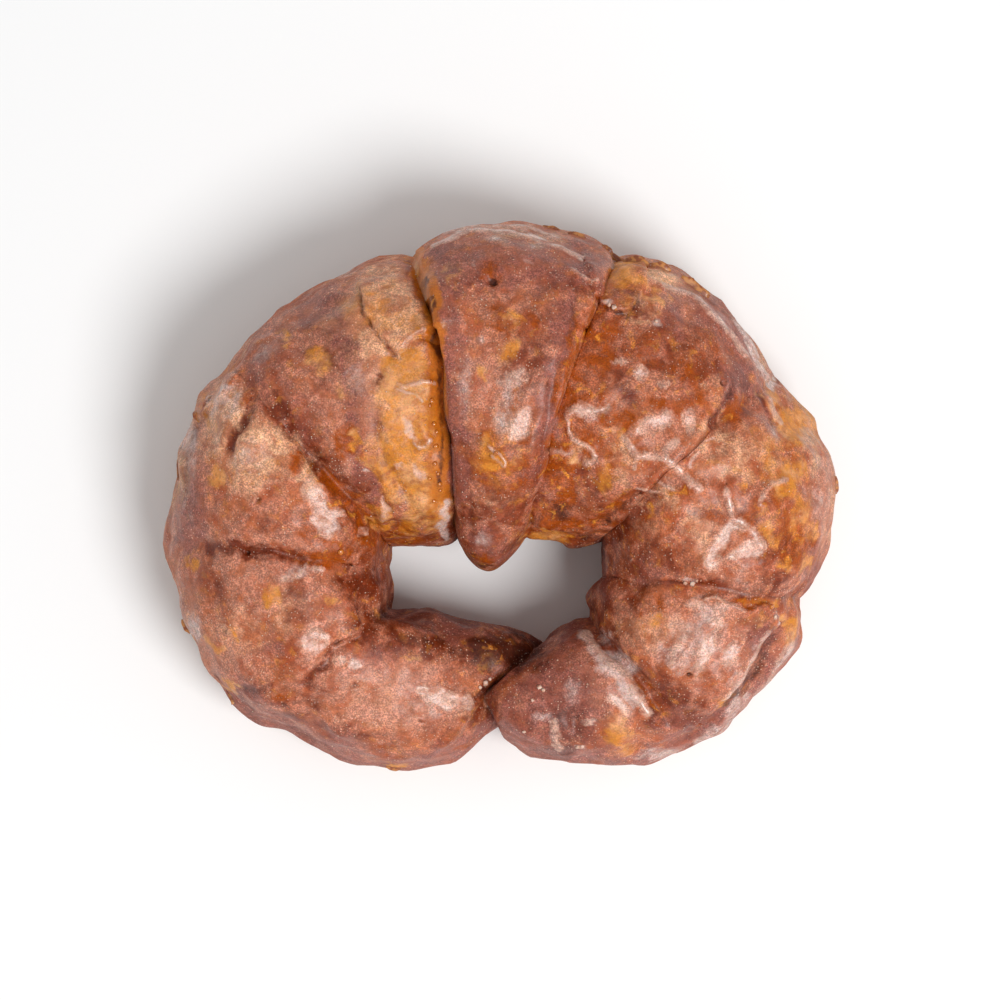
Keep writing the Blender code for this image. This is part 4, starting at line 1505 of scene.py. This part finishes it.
@dataclass(frozen=True)
class GlazedCrust:
    """Fried crust under a thin sugar glaze, with everything that the coats change, painted shade and
    highlights too.

    A climb says between which values of a pattern something comes up, and then, unless they are 0 and 1, how
    strong it is below and above them.
    """

    brown: Tint = (0.335, 0.056, 0.009)
    russet: Tint = (0.43, 0.108, 0.032)
    # The next tint darkens browned crust and also paints shade in furrows, creases and round the hole.
    red: Tint = (0.165, 0.023, 0.004)
    orange: Tint = (0.33, 0.058, 0.0)
    tan: Tint = (0.72, 0.375, 0.215)
    mauve: Tint = (0.52, 0.214, 0.138)
    # The next tint is grey mauve glaze and also the painted shade on the steep front sides.
    plum_and_shade: Tint = (0.29, 0.088, 0.062)
    gold: Tint = (0.65, 0.232, 0.026)
    pale_gold: Tint = (0.72, 0.335, 0.130)
    # The next two tints colour the pale sides; the lilac is partly a painted reflection of the white
    # surroundings.
    lilac: Tint = (0.54, 0.320, 0.255)
    bread: Tint = (0.62, 0.340, 0.190)
    syrup: Tint = (0.52, 0.140, 0.006)
    milk: Tint = (0.62, 0.450, 0.400)
    # The next tint is almost black crust and the painted shade in creases, pits and on the hole's walls.
    dark: Tint = (0.060, 0.011, 0.005)
    # The next tint is the pale colour of the highlights painted on folds, flat places and crests.
    painted_sheen: Tint = (0.62, 0.365, 0.275)
    sugar: Tint = (0.78, 0.480, 0.350)

    blotches: Grain = Grain(5.0, 4.0)
    mottling: Grain = Grain(1.4, 5.0)
    veils: Grain = Grain(3.4, 4.0, 0.6)
    leaves: Grain = Grain(1.0, 3.0, 0.3)
    leaf_stretch: tuple[float, float, float] = (0.09, 0.09, 1.0)
    fray: Grain = Grain(0.9, 4.0)
    flecks: Grain = Grain(2.1, 3.0, 0.6)
    crumb: Grain = Grain(1.1, 4.0)
    drifts: Grain = Grain(4.0, 2.0)
    sparkles: Grain = Grain(0.28, 2.0)
    grit: Grain = Grain(0.8, 3.0)
    tiles: Grain = Grain(1.9, 3.0, 0.4)
    wet_dots: Grain = Grain(0.42, 3.0)
    fine_dots: Dots = Dots(0.5, 0.32, 0.6)
    large_dots: Dots = Dots(1.5, 0.16, 0.3)

    russet_climb: Climb = (0.38, 0.62)
    mauve_climb: Climb = (0.38, 0.64, 0.1, 0.65)
    cloudy_climb: Climb = (0.38, 0.6, 0.35, 1.0)
    clear_climb: Climb = (0.42, 0.62, 1.0, 0.45)
    plum_climb: Climb = (0.38, 0.6, 0.55, 1.0)
    leaf_climb: Climb = (0.40, 0.56)
    flank_climb: Climb = (0.34, 0.6, 0.5, 0.85)
    pale_climb: Climb = (0.4, 0.65)
    crumb_climb: Climb = (0.36, 0.56, 0.5, 0.95)
    painted_sheen_climb: Climb = (0.38, 0.58, 0.25, 0.7)
    fleck_climb: Climb = (0.56, 0.70)
    drift_climb: Climb = (0.42, 0.6, 0.25, 1.0)
    sugared_climb: Climb = (0.4, 0.62, 0.4, 1.0)
    sparkle_climb: Climb = (0.3, 0.7)
    grit_climb: Climb = (0.32, 0.68)
    tile_climb: Climb = (0.34, 0.66, 0.9, 1.1)
    wet_climb: Climb = (0.36, 0.6, 0.2, 0.8)
    leaf_height_climb: Climb = (0.4, 0.6)

    fray_depth: float = 2.6
    loose_edge: float = 0.05
    sharp_edge: float = 0.12
    syrup_share: float = 0.85
    dark_share: float = 0.9
    # The next share is how much of the pale highlight tint is painted on a fold's crest.
    painted_glint_share: float = 0.3
    fleck_share: float = 0.4
    amber_fleck_share: float = 0.45
    sugar_share: float = 0.65
    golden_loss: float = 0.8
    golden_grit_loss: float = 0.6
    syrup_grit_loss: float = 0.7
    coarse_grit: float = 0.5
    middle_grit: float = 0.75
    darkest_grit: float = 0.72
    brightness: float = 0.96

    fine_height: float = 0.09
    sparkle_part: float = 0.6
    grain_part: float = 0.6
    coarse_height: float = 0.2
    mottle_part: float = 0.6
    leaf_part: float = 0.8
    roughness: float = 0.40
    mottle_roughness: float = 0.2
    milk_roughness: float = 0.1
    rim_roughness: float = 0.25
    syrup_gloss: float = 0.05
    sheen_gloss: float = 0.08
    coat_weight: float = 0.2
    sheen_coat: float = 0.4
    syrup_coat: float = 0.15
    coat_roughness: float = 0.22
    specular: float = 0.24
    subsurface: float = 0.25
    subsurface_radius: tuple[float, float, float] = (1.0, 0.35, 0.15)
    subsurface_scale: float = 0.0014

    def make(self) -> bpy.types.Material:
        """Makes the material.

        Returns:
            The material.
        """
        shader = Shader("glazed_crust")
        mask = self.masks(shader)
        pattern = Patterns(
            shader.noise(self.blotches), shader.noise(self.mottling), shader.noise(self.veils),
            shader.noise(self.leaves, shader.stretched(self.leaf_stretch)), shader.noise(self.sparkles),
        )
        dry = 1 - mask[Coat.SYRUP]
        rich = 1 - shader.math("MAXIMUM", mask[Coat.AMBER], mask[Coat.GOLD]) * self.golden_loss
        specks, lift = self.grains(shader)
        drifts = shader.ease(shader.noise(self.drifts), *self.drift_climb)
        colour = self.coated(shader, mask, pattern)
        colour = shader.mix(specks * dry * rich * drifts * self.sugar_share, colour, self.sugar)
        colour = shader.shade(colour, self.grittiness(shader, mask, pattern))

        sparkle = (pattern.sparkle - 0.5) * dry * self.sparkle_part
        fine = shader.bump(sparkle + lift * self.grain_part, self.fine_height)
        leaves = shader.ease(pattern.layers, *self.leaf_height_climb) * mask[Coat.FLANK]
        coarse = pattern.mottle * self.mottle_part + leaves * self.leaf_part
        rough = self.roughness + (pattern.mottle - 0.5) * self.mottle_roughness
        rough = rough - mask[Coat.SYRUP] * self.syrup_gloss + mask[Coat.MILK] * self.milk_roughness
        rough = rough - mask[Coat.GLOSS_AND_PAINTED_SHEEN] * self.sheen_gloss + mask[Coat.RIM] * self.rim_roughness
        wet = shader.ease(shader.noise(self.wet_dots), *self.wet_climb) * rich
        shine = wet * (mask[Coat.GLOSS_AND_PAINTED_SHEEN] * self.sheen_coat + self.coat_weight) * (1 - mask[Coat.RIM])
        drops = shader.math("MAXIMUM", mask[Coat.SYRUP] * self.syrup_coat, mask[Coat.GLOSS_AND_PAINTED_GLINT])
        return shader.finish(
            Base_Color=colour,
            Roughness=rough,
            Specular_IOR_Level=self.specular,
            Normal=shader.bump(coarse, self.coarse_height, fine),
            Coat_Weight=shader.math("MAXIMUM", shine, drops),
            Coat_Roughness=self.coat_roughness,
            Subsurface_Weight=self.subsurface,
            Subsurface_Radius=self.subsurface_radius,
            Subsurface_Scale=self.subsurface_scale,
        )

    def masks(self, shader: Shader) -> dict[Coat, Signal]:
        """The coats' attributes, with edges broken up finer than the mesh.

        Args:
            shader: The material's nodes.

        Returns:
            A number from 0 to 1 for each coat.
        """
        fray = shader.noise(self.fray) - 0.5
        frayed = {}
        for coat in Coat:
            raw = shader.attribute(coat.value)
            edge = self.sharp_edge if coat in SHARP_COATS else self.loose_edge
            frayed[coat] = shader.ease(raw + fray * (raw * (1 - raw)) * self.fray_depth, edge, 1 - edge)
        return frayed

    def coated(self, shader: Shader, mask: dict[Coat, Signal], pattern: Patterns) -> Signal:
        """The crust's colour under its coats, each laid over the ones before.

        Args:
            shader: The material's nodes.
            mask: Where each coat is.
            pattern: The shared noises.

        Returns:
            The colour, without sugar grains.
        """
        cloudy = shader.ease(pattern.veil, *self.cloudy_climb)
        clear = shader.ease(pattern.veil, *self.clear_climb)
        side = shader.mix(shader.ease(pattern.layers, *self.leaf_climb), self.lilac, self.bread)
        golden = shader.mix(shader.ease(pattern.blotch, *self.pale_climb), self.gold, self.pale_gold)
        colour = shader.mix(shader.ease(pattern.blotch, *self.russet_climb), self.brown, self.russet)
        colour = shader.mix(shader.ease(pattern.veil, *self.mauve_climb), colour, self.mauve)
        # The browned, plum and dark coats also paint shade here, and the sheen and glint coats paint
        # highlights in a pale tint.
        for coat, tint, share in (
            (Coat.TAN, self.tan, cloudy),
            (Coat.FILM, self.mauve, cloudy),
            (Coat.BROWNED_AND_SHADE, self.red, clear),
            (Coat.PLUM_AND_SHADE, self.plum_and_shade, shader.ease(pattern.veil, *self.plum_climb)),
            (Coat.FLANK, side, shader.ease(pattern.veil, *self.flank_climb)),
            (Coat.AMBER, self.orange, clear),
            (Coat.GOLD, golden, shader.ease(shader.noise(self.crumb), *self.crumb_climb)),
            (Coat.SYRUP, self.syrup, self.syrup_share),
            (Coat.MILK, self.milk, shader.ease(pattern.mottle, *self.crumb_climb)),
            (Coat.DARK, self.dark, self.dark_share),
            (Coat.GLOSS_AND_PAINTED_SHEEN, self.painted_sheen, shader.ease(pattern.mottle, *self.painted_sheen_climb)),
            (Coat.GLOSS_AND_PAINTED_GLINT, self.painted_sheen, self.painted_glint_share),
        ):
            colour = shader.mix(mask[coat] * share, colour, tint)
        flecks = shader.ease(shader.noise(self.flecks), *self.fleck_climb)
        bare = (1 - mask[Coat.FILM]) * (1 - mask[Coat.PLUM_AND_SHADE]) * (1 - mask[Coat.GLOSS_AND_PAINTED_SHEEN])
        share = mask[Coat.AMBER] * self.amber_fleck_share + self.fleck_share
        return shader.mix(flecks * bare * share, colour, self.gold)

    def grittiness(self, shader: Shader, mask: dict[Coat, Signal], pattern: Patterns) -> Signal:
        """How light or dark the sugar's fine grit makes each point.

        Args:
            shader: The material's nodes.
            mask: Where each coat is.
            pattern: The shared noises.

        Returns:
            A factor for the colour, near 1.
        """
        sugared = shader.ease(pattern.veil, *self.sugared_climb)
        sugared = sugared * (1 - mask[Coat.GOLD] * self.golden_grit_loss)
        sugared = sugared * (1 - mask[Coat.SYRUP] * self.syrup_grit_loss)
        coarse = shader.ease(shader.noise(self.grit), *self.grit_climb) * self.coarse_grit
        grit = (shader.ease(pattern.sparkle, *self.sparkle_climb) + coarse - self.middle_grit) * sugared
        tiles = shader.ease(shader.noise(self.tiles), *self.tile_climb)
        return shader.math("MAXIMUM", grit + 1, self.darkest_grit) * tiles * self.brightness

    def grains(self, shader: Shader) -> tuple[Signal, Signal]:
        """Pale sugar grains in two sizes.

        Args:
            shader: The material's nodes.

        Returns:
            How pale the grains make each point, and how far they stand out.
        """
        fine, large = (
            shader.ease(shader.cells(dots.cell, "Distance"), dots.radius * 0.5, dots.radius, 1.0, 0.0)
            * shader.ease(shader.chance(dots.cell), dots.share, dots.share - dots.softness)
            for dots in (self.fine_dots, self.large_dots)
        )
        return shader.math("MAXIMUM", fine, large), fine + large * 2


# ---------------------------------------------------------------- crumbs, flakes and beads


class Bed:
    """The finished dough, as a place to set small pieces."""

    overhead: float = 80.0

    def __init__(self, ring: bpy.types.Object) -> None:
        """Takes the dough's faces, in millimetres.

        Args:
            ring: The finished dough.
        """
        mesh = ring.data
        corners = [vert.co / MM for vert in mesh.vertices]
        self.tree = BVHTree.FromPolygons(corners, [tuple(face.vertices) for face in mesh.polygons])

    def below(self, x: float, y: float) -> tuple[Vector, Vector] | None:
        """The crust's place and normal under a point seen from above, or None beside the dough."""
        place, normal, _, _ = self.tree.ray_cast(Vector((x, y, self.overhead)), Vector((0.0, 0.0, -1.0)))
        return None if place is None else (place, normal)

    def nearest(self, x: float, y: float, z: float) -> tuple[Vector, Vector]:
        """The crust's place and normal nearest to a point."""
        place, normal, _, _ = self.tree.find_nearest(Vector((x, y, z)))
        return place, normal


@dataclass(frozen=True)
class Speck:
    """A lump that sits on the crust, at a point seen from above."""

    x: float
    y: float
    radius: float
    flat: float = 0.7


@dataclass
class Lumps:
    """Lumps of one kind, joined to one piece: placed ones, and smaller ones strewn at random."""

    name: str
    placed: tuple[Speck, ...]
    strewn: int = 0
    strewn_radius: Span = (0.05, 0.14)
    strewn_flat: Span = (0.6, 1.0)
    placed_detail: int = 2
    strewn_detail: int = 1
    roughness: float = 0.75
    knob_size: float = 1.6
    knob_range: float = 50.0
    sunk: float = 0.3
    steepest: float = 0.25
    reach: Span = (56.0, 46.0)

    def build(self, bed: Bed) -> bpy.types.Object:
        """Sets the lumps on the crust.

        Args:
            bed: The finished dough.

        Returns:
            The joined lumps, in metres.
        """
        rng = random.Random(SEED)
        bm = bmesh.new()
        for speck in self.placed:
            self.add(bm, bed, speck, self.placed_detail, rng)
        for _ in range(self.strewn):
            x, y = (rng.uniform(-side, side) for side in self.reach)
            speck = Speck(x, y, rng.uniform(*self.strewn_radius), rng.uniform(*self.strewn_flat))
            self.add(bm, bed, speck, self.strewn_detail, rng)
        return joined(bm, self.name)

    def add(self, bm: bmesh.types.BMesh, bed: Bed, speck: Speck, detail: int, rng: random.Random) -> None:
        """Adds one lump, unless its point is beside the dough or on a steep side.

        Args:
            bm: The mesh that takes the lump.
            bed: The finished dough.
            speck: The lump.
            detail: How often its sphere is subdivided.
            rng: Where its random form comes from.
        """
        shift = Vector((rng.random(), rng.random(), rng.random())) * self.knob_range
        found = bed.below(speck.x, speck.y)
        if found is None or found[1].z < self.steepest:
            return
        place, normal = found
        made = bmesh.ops.create_icosphere(bm, subdivisions=detail, radius=1.0)
        for vert in made["verts"]:
            vert.co *= 1 + self.roughness * noise.noise(vert.co * self.knob_size + shift)
        size = Matrix.Diagonal((speck.radius, speck.radius, speck.radius * speck.flat, 1.0))
        turn = normal.to_track_quat("Z", "X").to_matrix().to_4x4()
        seat = Matrix.Translation(place + normal * speck.radius * speck.flat * (1 - 2 * self.sunk))
        bmesh.ops.transform(bm, matrix=seat @ turn @ size, verts=made["verts"])


@dataclass(frozen=True)
class Flake:
    """A scrap of crust that has peeled up along a line of points seen from above."""

    path: Path
    level: float
    height: float
    lean: Span


@dataclass
class Flakes:
    """Flakes of peeled crust, joined to one piece."""

    name: str
    flakes: tuple[Flake, ...]
    steps: int = 9
    rows: int = 4
    thickness: float = 0.28
    sunk: float = 0.5
    raggedness: float = 0.45
    tears: float = 0.9
    taper: Span = (0.1, 0.9)
    taper_power: float = 0.7
    lean_share: Span = (0.25, 0.8)

    def build(self, bed: Bed) -> bpy.types.Object:
        """Bends a strip for each flake and roots it in the crust.

        Args:
            bed: The finished dough.

        Returns:
            The joined flakes, in metres.
        """
        bm = bmesh.new()
        for flake in self.flakes:
            strip = bmesh.new()
            bmesh.ops.create_grid(strip, x_segments=self.steps, y_segments=self.rows, size=0.5)
            for vert in strip.verts:
                vert.co = self.place(flake, bed, vert.co.x + 0.5, vert.co.y + 0.5)
            bmesh.ops.solidify(strip, geom=strip.faces[:], thickness=self.thickness)
            mesh = bpy.data.meshes.new("strip")
            strip.to_mesh(mesh)
            strip.free()
            bm.from_mesh(mesh)
            bpy.data.meshes.remove(mesh)
        return joined(bm, self.name)

    def place(self, flake: Flake, bed: Bed, along: float, out: float) -> Vector:
        """Where a point of a flake goes.

        Args:
            flake: The flake.
            bed: The finished dough.
            along: 0 at the start of its path and 1 at the end.
            out: 0 at its root and 1 at its torn edge.

        Returns:
            The place, in millimetres.
        """
        spans = len(flake.path) - 1
        index = min(int(along * spans), spans - 1)
        start, end = Vector(flake.path[index]), Vector(flake.path[index + 1])
        foot = start.lerp(end, along * spans - index)
        root, normal = bed.nearest(foot.x, foot.y, flake.level)
        torn = 1 + self.raggedness * noise.noise(Vector((foot.x, foot.y, 0.0)) * self.tears)
        reach = flake.height * torn * math.sin(math.pi * blend(*self.taper, along)) ** self.taper_power
        lean = Vector((*flake.lean, 0.0)).normalized()
        way = normal.lerp(lean, blend(*self.lean_share, out)).normalized()
        return root - normal * self.sunk + way * (self.sunk + reach) * out


def joined(bm: bmesh.types.BMesh, name: str) -> bpy.types.Object:
    """Makes an object in metres from a mesh in millimetres.

    Args:
        bm: The mesh, which is freed.
        name: The object's name.

    Returns:
        The object.
    """
    bmesh.ops.recalc_face_normals(bm, faces=bm.faces)
    bmesh.ops.scale(bm, vec=(MM, MM, MM), verts=bm.verts)
    mesh = bpy.data.meshes.new(name)
    bm.to_mesh(mesh)
    bm.free()
    mesh.shade_smooth()
    return linked(name, mesh)


CRUMBS = (
    Speck(-55.1, 4.6, 0.65), Speck(-55.9, 5.4, 0.4), Speck(-56.6, 4.2, 0.3), Speck(-2.3, -31.9, 0.5),
    Speck(-3.2, -32.6, 0.35), Speck(-1.5, -31.2, 0.3), Speck(-1.4, -35.3, 0.35), Speck(-0.2, -40.0, 0.3),
    Speck(-3.9, -42.3, 0.35), Speck(7.0, -32.4, 0.4), Speck(7.7, -32.9, 0.35), Speck(5.8, -34.6, 0.3),
    Speck(4.4, -40.0, 0.3), Speck(13.6, -42.7, 0.4), Speck(14.3, -42.6, 0.35), Speck(31.6, -14.4, 0.4),
    Speck(32.8, -14.5, 0.45), Speck(33.5, -14.0, 0.25), Speck(19.4, 31.9, 0.4), Speck(18.6, 32.3, 0.3),
    Speck(46.9, -20.3, 0.35), Speck(-49.3, 17.0, 0.35), Speck(26.5, 29.5, 0.35), Speck(9.4, -25.6, 0.3),
)
BEADS = (
    Speck(-11.2, 16.2, 0.5), Speck(-11.5, 15.4, 0.35), Speck(-10.8, 12.3, 0.45), Speck(-10.4, 11.0, 0.35),
    Speck(-10.5, 8.6, 0.5), Speck(-10.7, 5.7, 0.45), Speck(-10.2, 4.0, 0.35), Speck(-9.9, 2.3, 0.4),
    Speck(-9.8, 1.2, 0.35), Speck(-11.6, 3.2, 0.35), Speck(-10.9, -0.6, 0.4), Speck(-11.2, 19.4, 0.3),
    Speck(46.3, -18.5, 0.45), Speck(43.4, -17.2, 0.35), Speck(-0.4, 7.4, 0.4), Speck(-26.7, -9.2, 0.6),
)
FLAKES = (
    Flake(((7.5, 46.3), (9.0, 46.2), (10.4, 45.8)), 24.0, 0.5, (0.3, 1.0)),
    Flake(((11.8, 45.4), (13.4, 44.9), (14.8, 44.2)), 25.0, 0.6, (0.4, 0.9)),
    Flake(((17.6, 43.2), (19.2, 42.4), (21.0, 41.0)), 27.0, 0.7, (0.6, 0.8)),
    Flake(((21.0, 40.2), (22.6, 39.8), (24.8, 38.0)), 28.0, 1.1, (0.5, 0.8)),
    Flake(((25.0, 39.0), (27.0, 38.6), (29.0, 37.8)), 27.0, 0.9, (0.4, 0.9)),
    Flake(((31.0, 37.4), (33.6, 36.4), (36.4, 34.6)), 26.0, 1.2, (0.6, 0.8)),
    Flake(((-51.2, 14.6), (-50.2, 14.0), (-49.0, 13.0)), 26.0, 0.7, (-0.9, 0.2)),
    Flake(((-54.4, -21.0), (-54.0, -22.6), (-53.4, -23.8)), 18.0, 0.6, (-1.0, -0.2)),
    Flake(((-19.6, -46.8), (-18.3, -46.9), (-17.0, -46.7)), 16.0, 0.6, (0.0, -1.0)),
    Flake(((56.6, 3.6), (56.9, 2.0), (56.8, 0.6)), 20.0, 0.6, (1.0, 0.1)),
    Flake(((-49.2, -34.6), (-48.4, -35.8), (-47.4, -36.6)), 17.0, 0.6, (-0.7, -0.7)),
    Flake(((-57.0, 6.4), (-57.2, 4.8), (-57.0, 3.2)), 22.0, 0.5, (-1.0, 0.1)),
)


@dataclass(frozen=True)
class SmallFinish:
    """The finish of a small piece: one tint that varies to another."""

    name: str
    tint: Tint
    other: Tint
    roughness: float
    coat: float
    coat_roughness: float = 0.12
    mottling: Grain = Grain(0.8, 3.0)
    mottle_climb: Climb = (0.38, 0.62)
    subsurface: float = 0.15
    subsurface_scale: float = 0.0006

    def make(self) -> bpy.types.Material:
        """Makes the material.

        Returns:
            The material.
        """
        shader = Shader(self.name)
        share = shader.ease(shader.noise(self.mottling), *self.mottle_climb)
        return shader.finish(
            Base_Color=shader.mix(share, self.tint, self.other),
            Roughness=self.roughness,
            Coat_Weight=self.coat,
            Coat_Roughness=self.coat_roughness,
            Subsurface_Weight=self.subsurface,
            Subsurface_Scale=self.subsurface_scale,
        )


SUGAR = SmallFinish("dried_sugar", (0.70, 0.50, 0.40), (0.56, 0.30, 0.20), 0.5, 0.1)
BEAD = SmallFinish("syrup_drop", (0.55, 0.16, 0.008), (0.40, 0.09, 0.004), 0.15, 1.0)
PEEL = SmallFinish("peeled_crust", (0.52, 0.21, 0.050), (0.24, 0.055, 0.010), 0.45, 0.3)


# ---------------------------------------------------------------- the studio


@dataclass
class Studio:
    """A white floor, a soft light from the front right, and a camera that looks straight down.

    Its sizes are in metres and its angles in degrees.
    """

    camera_height: float = 0.75
    view_width: float = 0.17293
    view_level: float = 0.018
    view_middle: Span = (0.00026, -0.00043)
    view_depth: Span = (0.01, 100.0)
    sensor_mm: float = 36.0
    light_distance: float = 1.0
    light_size: float = 0.44
    light_azimuth: float = -42.0
    light_elevation: float = 59.0
    light_power: float = 7.4
    sky: float = 0.56
    floor_size: float = 6.0
    floor_tint: Tint = (0.90, 0.90, 0.90)
    floor_roughness: float = 0.9

    def camera(self) -> None:
        """Hangs the camera over the middle."""
        data = bpy.data.cameras.new("camera")
        data.sensor_width = self.sensor_mm
        data.lens = self.sensor_mm * (self.camera_height - self.view_level) / self.view_width
        data.clip_start, data.clip_end = self.view_depth
        camera = linked("camera", data)
        camera.location = (*self.view_middle, self.camera_height)
        bpy.context.scene.camera = camera

    def light(self) -> None:
        """Hangs the soft light and sets the sky."""
        data = bpy.data.lights.new("key", "AREA")
        data.shape = "DISK"
        data.size = self.light_size
        data.energy = self.light_power
        key = linked("key", data)
        turn, rise = math.radians(self.light_azimuth), math.radians(self.light_elevation)
        away = Vector((math.cos(turn) * math.cos(rise), math.sin(turn) * math.cos(rise), math.sin(rise)))
        key.location = away * self.light_distance
        key.rotation_mode = "QUATERNION"
        key.rotation_quaternion = (-away).to_track_quat("-Z", "Y")
        world = bpy.data.worlds.new("sky")
        world.use_nodes = True
        background = world.node_tree.nodes["Background"]
        background.inputs["Color"].default_value = (1.0, 1.0, 1.0, 1.0)
        background.inputs["Strength"].default_value = self.sky
        bpy.context.scene.world = world

    def floor(self) -> None:
        """Lays the floor."""
        bm = bmesh.new()
        bmesh.ops.create_grid(bm, x_segments=1, y_segments=1, size=self.floor_size / 2)
        mesh = bpy.data.meshes.new("floor")
        bm.to_mesh(mesh)
        bm.free()
        paint = Shader("floor_paint").finish(Base_Color=self.floor_tint, Roughness=self.floor_roughness)
        mesh.materials.append(paint)
        linked("floor", mesh)

    def build(self) -> None:
        """Sets up floor, light and camera."""
        self.floor()
        self.light()
        self.camera()
        bpy.context.scene.view_settings.view_transform = "Standard"


def ride(piece: bpy.types.Object, *nodes: str) -> None:
    """Puts a finished piece on the doughnut and reports it.

    Args:
        piece: The piece.
        nodes: The nodes that it replaces.
    """
    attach(piece, "root")
    if nodes:
        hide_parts(*nodes)
    LOG.info("%s: %d vertices", piece.name, len(piece.data.vertices))


def main() -> None:
    """Builds the doughnut round its frame."""
    logging.basicConfig(level=logging.INFO, format="%(name)s %(message)s")
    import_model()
    Studio().build()
    ring = DoughRing().build()
    ring.data.materials.append(GlazedCrust().make())
    ride(ring, NODE)
    bed = Bed(ring)
    for maker, finish in (
        (Lumps("glaze_crumbs", CRUMBS, strewn=700), SUGAR),
        (Lumps("syrup_beads", BEADS, roughness=0.12, sunk=0.35), BEAD),
        (Flakes("rim_flakes", FLAKES), PEEL),
    ):
        piece = maker.build(bed)
        piece.data.materials.append(finish.make())
        ride(piece)


if __name__ == "__main__":
    main()
